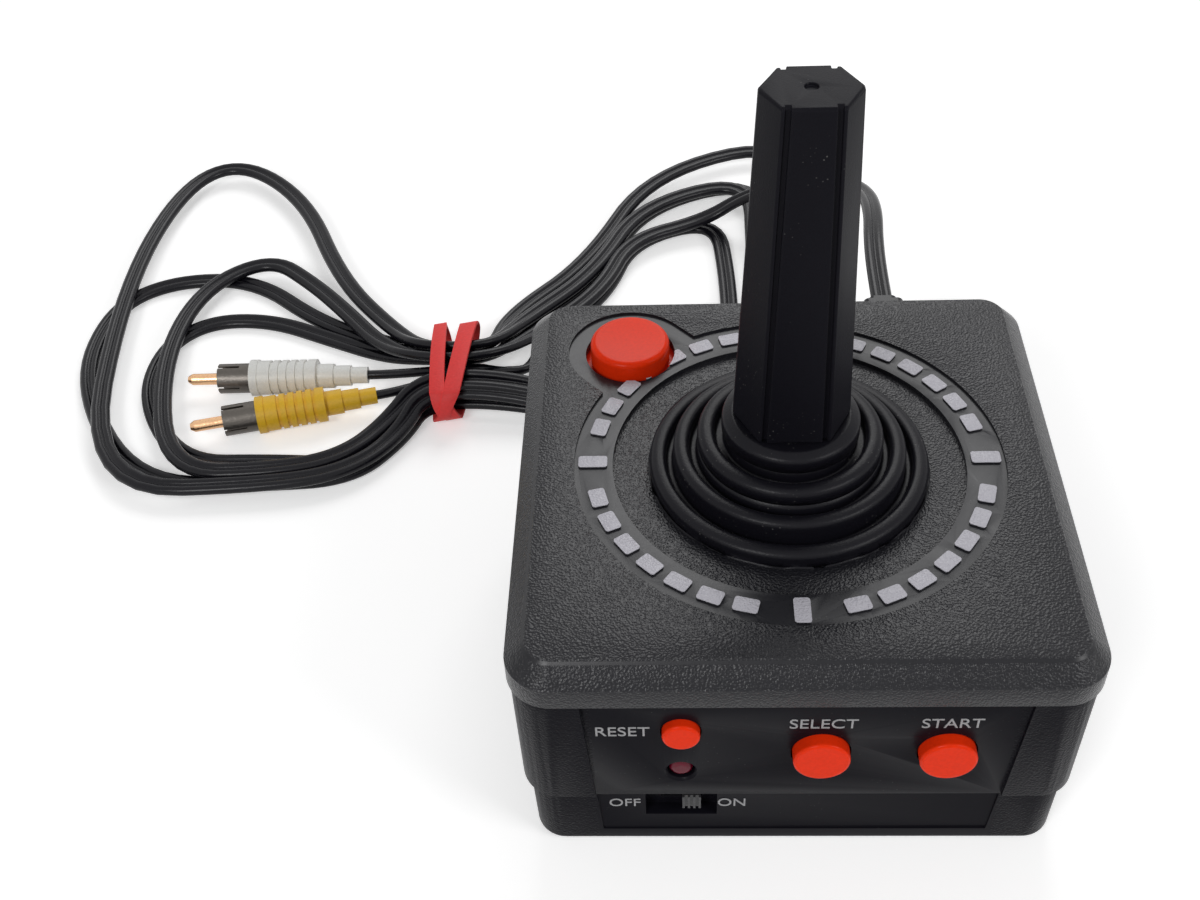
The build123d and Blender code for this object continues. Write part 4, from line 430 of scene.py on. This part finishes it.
# %% Finishes
BLACK = (0.0060, 0.0057, 0.0085)
finishes = {
    "housing_plastic": finish("case plastic", BLACK, 0.32, 0.50, 2300, 0.06, 0.04, Specular_IOR_Level=0.06),
    "handle_rubber": finish("handle rubber", BLACK, 0.46, 0.14, 3600, 0.16, 0.05, Specular_IOR_Level=0.06),
    "boot_rubber": finish("boot rubber", BLACK, 0.34, 0.14, 2600, 0.22, Specular_IOR_Level=0.14),
    "red_button": finish("orange red button", (0.93, 0.036, 0.004), 0.20, Specular_IOR_Level=0.08),
    "inner_plastic": finish("inner plastic", (0.05, 0.05, 0.055), 0.5, 0.1),
    "shaft_nylon": finish("shaft nylon", (0.72, 0.71, 0.66), 0.45, 0.1),
    "switch_knob": finish("knob plastic", (0.022, 0.022, 0.024), 0.4, 0.15, 2600, 0.0, 0.3),
    "lamp": finish("lamp resin", (0.12, 0.003, 0.016), 0.14, Specular_IOR_Level=0.25),
    "pad_rubber": finish("pad silicone", (0.55, 0.55, 0.52), 0.5, 0.1),
    "board": finish("board laminate", (0.03, 0.16, 0.06), 0.4, 0.1),
    "board_part": finish("board part", (0.03, 0.03, 0.034), 0.35, 0.1),
    "ribbon": finish("ribbon cable", (0.5, 0.5, 0.48), 0.45, 0.2, 1200),
    "screw_steel": finish("zinc screw", (0.55, 0.55, 0.56), 0.35, 0.1, Metallic=1.0),
    "contact_steel": finish("nickel contact", (0.68, 0.67, 0.64), 0.25, 0.1, Metallic=1.0),
    "cell": finish("cell sleeve", (0.08, 0.08, 0.09), 0.3, 0.1),
    "cord_jacket": finish("cord jacket", BLACK, 0.25, 0.06, 1800, 0.04, Specular_IOR_Level=0.22),
    "band_rubber": finish(
        "red rubber band", (0.86, 0.062, 0.060), 0.50, 0.35, 1400, 0.10, Specular_IOR_Level=0.2
    ),
    "yellow_plug": finish("yellow plug", (0.80, 0.47, 0.015), 0.40, 0.12, 2000, 0.10),
    "white_plug": finish("white plug", (0.80, 0.80, 0.77), 0.40, 0.12, 2000),
    "plug_shell": finish("dark plated shell", (0.11, 0.10, 0.09), 0.36, 0.2, 1600, Metallic=1.0),
    "plug_pin": finish("coppery pin", (0.72, 0.44, 0.25), 0.28, 0.15, 1600, Metallic=1.0),
}
slot_of = {row["node"]: row["material_slot"] for row in frame["record"]["subparts"]}


def paint(piece, slot_name):
    piece.data.materials.clear()
    piece.data.materials.append(finishes[slot_name])
    return piece


for node, piece in frame["nodes"].items():
    paint(piece, slot_of[node])
print("finishes:", len(finishes))

# %% [markdown]
# The lid and the case are grained, but the sunk ring and the front panels are smooth, so the grain
# is masked there by place. The ring's marks are moulded with the lid and have silvered tops: only
# the faces that stand just above the ring's floor are silver.

# %% Smooth places and silver marks
LID_BLACK = (0.010, 0.010, 0.013)
MARK_LOW_Z = 58.72
TRACK_LOW_Z = 58.2
PANEL_HALF, PANEL_BACK_Y = 40.0, -50.0
MARK_BAND = (37.0, 43.8)
MARK_SILVER = (0.50, 0.49, 0.54, 1)


def place_of(tree):
    """Sockets with the place on the piece, in its own axes."""
    place = tree.nodes.new("ShaderNodeSeparateXYZ")
    tree.links.new(tree.nodes.new("ShaderNodeTexCoord").outputs["Object"], place.inputs[0])
    return place.outputs


def keep_grain(tree, here, there):
    """Leaves the grain only where one of the two masks is set."""
    bump = tree.nodes["Bump"]
    height = bump.inputs["Height"].links[0].from_socket
    kept = math_node(tree, "ADD", here, there, True)
    tree.links.new(math_node(tree, "MULTIPLY", height, kept), bump.inputs["Height"])


def smooth_track(tree):
    """Takes the grain away where the lid is cut down to the ring's floor."""
    z = place_of(tree)["Z"]
    low = math_node(tree, "LESS_THAN", z, TRACK_LOW_Z * MM)
    keep_grain(tree, low, math_node(tree, "GREATER_THAN", z, MARK_LOW_Z * MM))


def smooth_panels(tree):
    """Takes the grain away inside the front panels, which lie back from the case's front."""
    place = place_of(tree)
    sideways = math_node(tree, "ABSOLUTE", place["X"], 0.0)
    beside = math_node(tree, "GREATER_THAN", sideways, PANEL_HALF * MM)
    keep_grain(tree, beside, math_node(tree, "GREATER_THAN", place["Y"], PANEL_BACK_Y * MM))


def silver_marks(tree):
    """Mixes silver in where the lid stands up from the ring."""
    shader = tree.nodes["Principled BSDF"]
    base = shader.inputs["Base Color"].links[0].from_socket
    place = place_of(tree)
    square = [math_node(tree, "POWER", place[axis], 2.0) for axis in ("X", "Y")]
    radius = math_node(tree, "SQRT", math_node(tree, "ADD", *square), 0.0)
    inside = math_node(tree, "GREATER_THAN", radius, MARK_BAND[0] * MM)
    outside = math_node(tree, "LESS_THAN", radius, MARK_BAND[1] * MM)
    high = math_node(tree, "GREATER_THAN", place["Z"], MARK_LOW_Z * MM)
    mask = math_node(tree, "MULTIPLY", math_node(tree, "MULTIPLY", inside, outside), high)
    over = tree.nodes.new("ShaderNodeMix")
    over.data_type = "RGBA"
    tree.links.new(mask, over.inputs["Factor"])
    tree.links.new(base, over.inputs["A"])
    over.inputs["B"].default_value = MARK_SILVER
    tree.links.new(over.outputs["Result"], shader.inputs["Base Color"])


finishes["lid"] = finish(
    "lid plastic", LID_BLACK, 0.29, 0.85, 2300, 0.12, 0.06, Specular_IOR_Level=0.28
)
smooth_panels(finishes["housing_plastic"].node_tree)
smooth_track(finishes["lid"].node_tree)
silver_marks(finishes["lid"].node_tree)

# %% [markdown]
# Moulded plastic never has a knife edge. The lid, the housings and the handle are copied from the
# CAD parts, their flat triangles are merged, and a narrow bevel rounds the edges so that they
# catch a line of light. The small dome under the fire button is copied without a bevel.

# %% Softened copies
FLAT_ANGLE = radians(1.5)
SHARP_ANGLE = radians(28)
MERGE_DISTANCE = 1e-6
BEVEL_STEPS = 3


def softened(node, body, width=0.0):
    mesh = frame["nodes"][node].data.copy()
    work = bmesh.new()
    work.from_mesh(mesh)
    bmesh.ops.remove_doubles(work, verts=work.verts, dist=MERGE_DISTANCE)
    bmesh.ops.dissolve_limit(work, angle_limit=FLAT_ANGLE, verts=work.verts, edges=work.edges)
    for face in work.faces:
        face.smooth = True
    work.to_mesh(mesh)
    work.free()
    piece = link(f"{node}_soft", mesh)
    if width:
        bevel = piece.modifiers.new("round edges", "BEVEL")
        bevel.width = width * MM
        bevel.segments = BEVEL_STEPS
        bevel.limit_method = "ANGLE"
        bevel.angle_limit = SHARP_ANGLE
        bevel.harden_normals = True
    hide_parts(node)
    return paint(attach(piece, body), slot_of[node])


lid = softened("top_cover", "case", 0.35)
lid.data.materials[0] = finishes["lid"]
upper = softened("upper_housing", "case", 0.3)
lower = softened("lower_housing", "case", 0.3)
grip = softened("handle", "stick", 0.45)
dome = softened("fire_dome", "case")
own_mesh(dome)
print("softened:", [p.name for p in (lid, upper, lower, grip, dome)])

# %% [markdown]
# The boot is moulded rubber, made as three turned pieces. The collar rides on the stick; the
# inner folds lie between the pivot ring and the stick, and the outer folds lie between the case
# and the pivot ring.

# %% The boot
TURN_STEPS = 120
ARC_STEPS = 5
CORNER_SHARE = 0.48
FOLD_WALL = 0.9


def rounded_line(corners):
    """Points along a line whose corners are arcs; each corner is radius, height, rounding."""
    points = [Vector(corners[0][:2])]
    for before, here, after in zip(corners, corners[1:], corners[2:]):
        a, b, c = Vector(before[:2]), Vector(here[:2]), Vector(after[:2])
        into, out = (b - a).normalized(), (c - b).normalized()
        half = into.angle(out) / 2
        longest = min((b - a).length, (c - b).length) * CORNER_SHARE
        cut = min(here[2] * tan(half), longest)
        start, end = b - into * cut, b + out * cut
        for i in range(ARC_STEPS + 1):
            t = i / ARC_STEPS
            points.append(start * (1 - t) ** 2 + b * 2 * t * (1 - t) + end * t**2)
    return points + [Vector(corners[-1][:2])]


def turned(name, corners):
    """A wall turned round the stick's axis from a line of corners."""
    mesh = bpy.data.meshes.new(name)
    work = bmesh.new()
    rings = []
    for radius, height in rounded_line(corners):
        angles = [2 * pi * i / TURN_STEPS for i in range(TURN_STEPS)]
        circle = [(radius * cos(a) * MM, radius * sin(a) * MM, height * MM) for a in angles]
        rings.append([work.verts.new(place) for place in circle])
    for low, high in zip(rings, rings[1:]):
        for i in range(TURN_STEPS):
            j = (i + 1) % TURN_STEPS
            work.faces.new((low[i], low[j], high[j], high[i])).smooth = True
    bmesh.ops.recalc_face_normals(work, faces=work.faces)
    work.to_mesh(mesh)
    work.free()
    piece = link(name, mesh)
    wall = piece.modifiers.new("wall", "SOLIDIFY")
    wall.thickness = FOLD_WALL * MM
    wall.offset = -1
    return piece


INNER_FOLD = [
    (13.3, 69.4, 0), (13.3, 65.2, 0.6), (15.2, 65.2, 0.6),
    (15.4, 67.9, 1.5), (18.8, 67.7, 1.9), (18.8, 64.4, 0),
]
OUTER_FOLD = [
    (18.8, 64.4, 0), (18.8, 61.3, 0.6), (20.3, 61.3, 0.6),
    (20.5, 64.1, 1.5), (23.7, 64.0, 1.9), (23.7, 58.3, 0.6),
    (25.1, 58.3, 0.6), (25.3, 60.8, 1.5), (28.6, 60.5, 1.9),
    (28.6, 56.8, 0.4), (28.6, 54.7, 0),
]
COLLAR = [(4.3, 72.45, 0), (12.0, 72.45, 1.2), (13.9, 71.4, 1.2), (13.9, 68.4, 0)]

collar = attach(turned("boot_collar", COLLAR), "stick")
inner_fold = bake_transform(turned("boot_inner", INNER_FOLD))
outer_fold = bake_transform(turned("boot_outer", OUTER_FOLD))
for piece in (collar, inner_fold, outer_fold):
    paint(piece, "boot_rubber")
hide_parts("boot")

# %% [markdown]
# The rubber band goes twice round the strands and crosses itself. It is a flat strip, swept along
# a path that runs round the bundle and drifts sideways, with a slow twist. It replaces the two
# plain loops of the CAD model.

# %% The rubber band
BAND_CENTRE = (89.9, 7.0)
BAND_HALF_Y, BAND_R = 10.9, 5.9
BAND_MID_X, BAND_DRIFT = -84.5, 4.4
BAND_WIDTH, BAND_THICK = 4.4, 0.9
BAND_STEPS = 240
BAND_FLATTEN, BAND_LAP, BAND_AHEAD = 1.6, 0.22, 0.002
BAND_TWIST, TWIST_START = 0.16, 0.8
BAND_SWELL, BAND_RIPPLE = 0.16, 0.06
RIM_WIDTH, RIM_STEPS = 0.25, 2


def round_bundle(turn_share):
    """Point and outward direction on the outline of the bundle, a slot with round ends."""
    angle = 2 * pi * turn_share
    out = Vector((0, cos(angle), sin(angle)))
    stretch = BAND_HALF_Y * max(-1, min(1, BAND_FLATTEN * cos(angle)))
    return Vector((0, BAND_CENTRE[0] + stretch, BAND_CENTRE[1])) + out * BAND_R, out


def band_mesh():
    work = bmesh.new()
    rings = []
    for i in range(BAND_STEPS):
        share = 2 * i / BAND_STEPS
        place, out = round_bundle(share)
        lap = BAND_LAP * sin(pi * share)
        place = place + out * lap
        place.x = BAND_MID_X + BAND_DRIFT * cos(pi * share)
        following, _ = round_bundle(share + BAND_AHEAD)
        ahead = (following - round_bundle(share)[0]).normalized()
        side = Vector((1, 0, 0))
        twist = BAND_TWIST * sin(2 * pi * share + TWIST_START)
        turn_by = Matrix.Rotation(twist, 3, ahead)
        across, over = turn_by @ side, turn_by @ out
        swell = BAND_SWELL * sin(3 * pi * share) + BAND_RIPPLE * sin(7 * pi * share)
        w = BAND_WIDTH / 2 * (1 + swell)
        t = BAND_THICK / 2
        corner = [(-w, -t), (w, -t), (w, t), (-w, t)]
        rings.append([work.verts.new((place + across * a + over * b) * MM) for a, b in corner])
    for i in range(BAND_STEPS):
        here, there = rings[i], rings[(i + 1) % BAND_STEPS]
        for a in range(4):
            b = (a + 1) % 4
            work.faces.new((here[a], here[b], there[b], there[a])).smooth = True
    bmesh.ops.recalc_face_normals(work, faces=work.faces)
    mesh = bpy.data.meshes.new("band")
    work.to_mesh(mesh)
    work.free()
    return mesh


band = link("band", band_mesh())
rim = band.modifiers.new("soft rim", "BEVEL")
rim.width = RIM_WIDTH * MM
rim.segments = RIM_STEPS
rim.limit_method = "ANGLE"
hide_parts("rubber_band")
paint(band, "band_rubber")
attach(band, "case")

# %% [markdown]
# Plain words beside the controls name only what each one does. They are thin raised letters made
# from Blender's own font.

# %% Function words
PANEL_Y = {"upper": -54.25, "lower": -52.7}
LETTER_HIGH = 0.12
FONT_SHARE = 1.38
letter_paint = finish("letter paint", (0.34, 0.34, 0.35), 0.45, 0.1, 2600)
WORDS = (
    ("RESET", -34.2, 40.0, 2.9, "upper"),
    ("SELECT", 3.8, 42.2, 2.9, "upper"),
    ("START", 27.8, 42.2, 2.9, "upper"),
    ("OFF", -34.4, 13.6, 2.7, "lower"),
    ("ON", -12.8, 13.6, 2.7, "lower"),
)

for text, x, z, size, panel in WORDS:
    face = bpy.data.curves.new(f"word_{text.lower()}", "FONT")
    face.body = text
    face.size = size * FONT_SHARE * MM
    face.extrude = LETTER_HIGH * MM
    face.align_x, face.align_y = "CENTER", "CENTER"
    word = link(f"word_{text.lower()}", face)
    place = Matrix.Translation(Vector((x, PANEL_Y[panel], z)) * MM)
    word.matrix_world = place @ Matrix.Rotation(pi / 2, 4, "X")
    word.data.materials.append(letter_paint)
    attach(word, "case")

# %% [markdown]
# The three cords take the jacket finish and go with the case; the CAD model's cords are hidden.

for piece in (twin_cord, leads["video"][0], leads["audio"][0]):
    paint(piece, "cord_jacket")
    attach(piece, "case")
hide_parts("cord_lead", "cord_hank")
for name, (lead, start) in leads.items():
    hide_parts(f"{name}_lead")

# %% [markdown]
# The floor and the light are a plain pale studio. Three large soft lamps give the case its long
# highlights without burning out the white plug.

# %% Floor, lamps and world
FLOOR_SIZE = 3.0
FLOOR_LIFT, FLOOR_ROUGHNESS = 0.42, 0.9
FLOOR_COLOR = (0.93, 0.93, 0.93, 1)
WHITE = (1, 1, 1, 1)


def shown_rays(tree):
    """One where the pale surroundings are looked at, straight, in a reflection or through glass."""
    rays = tree.nodes.new("ShaderNodeLightPath").outputs
    turned_rays = math_node(tree, "ADD", rays["Is Glossy Ray"], rays["Is Transmission Ray"], True)
    return math_node(tree, "ADD", rays["Is Camera Ray"], turned_rays, True)


ground = bpy.data.meshes.new("floor")
half = FLOOR_SIZE / 2
corners = [(-half, -half, 0), (half, -half, 0), (half, half, 0), (-half, half, 0)]
ground.from_pydata(corners, [], [(0, 1, 2, 3)])
floor = link("floor", ground)
floor_paint = bpy.data.materials.new("floor")
floor_paint.use_nodes = True
floor_shader = floor_paint.node_tree.nodes["Principled BSDF"]
floor_shader.inputs["Base Color"].default_value = FLOOR_COLOR
floor_shader.inputs["Roughness"].default_value = FLOOR_ROUGHNESS
floor_shader.inputs["Emission Color"].default_value = WHITE
lift = math_node(floor_paint.node_tree, "MULTIPLY", shown_rays(floor_paint.node_tree), FLOOR_LIFT)
floor_paint.node_tree.links.new(lift, floor_shader.inputs["Emission Strength"])
ground.materials.append(floor_paint)

LAMPS = (
    ("key", (-0.40, -0.70, 0.70), 0.30, 3.5),
    ("fill", (0.65, -0.40, 0.55), 0.35, 2.3),
    ("back", (0.05, 0.75, 0.70), 0.50, 3.0),
)
LAMPS_AIM = Vector((-0.02, 0.03, 0.03))
WORLD_LIGHT = 0.22
for name, place, size, power in LAMPS:
    lamp = bpy.data.lights.new(name, "AREA")
    lamp.size = size
    lamp.energy = power
    holder = link(name, lamp)
    holder.location = place
    aim = LAMPS_AIM - Vector(place)
    holder.rotation_euler = aim.to_track_quat("-Z", "Y").to_euler()

world = bpy.data.worlds.new("studio")
world.use_nodes = True
backdrop = world.node_tree.nodes["Background"]
backdrop.inputs["Color"].default_value = WHITE
strength = spread_out(world.node_tree, shown_rays(world.node_tree), 0.0, 1.0)
strength.node.inputs["To Min"].default_value = WORLD_LIGHT
world.node_tree.links.new(strength, backdrop.inputs["Strength"])
bpy.context.scene.world = world
bpy.context.scene.view_settings.view_transform = "Standard"
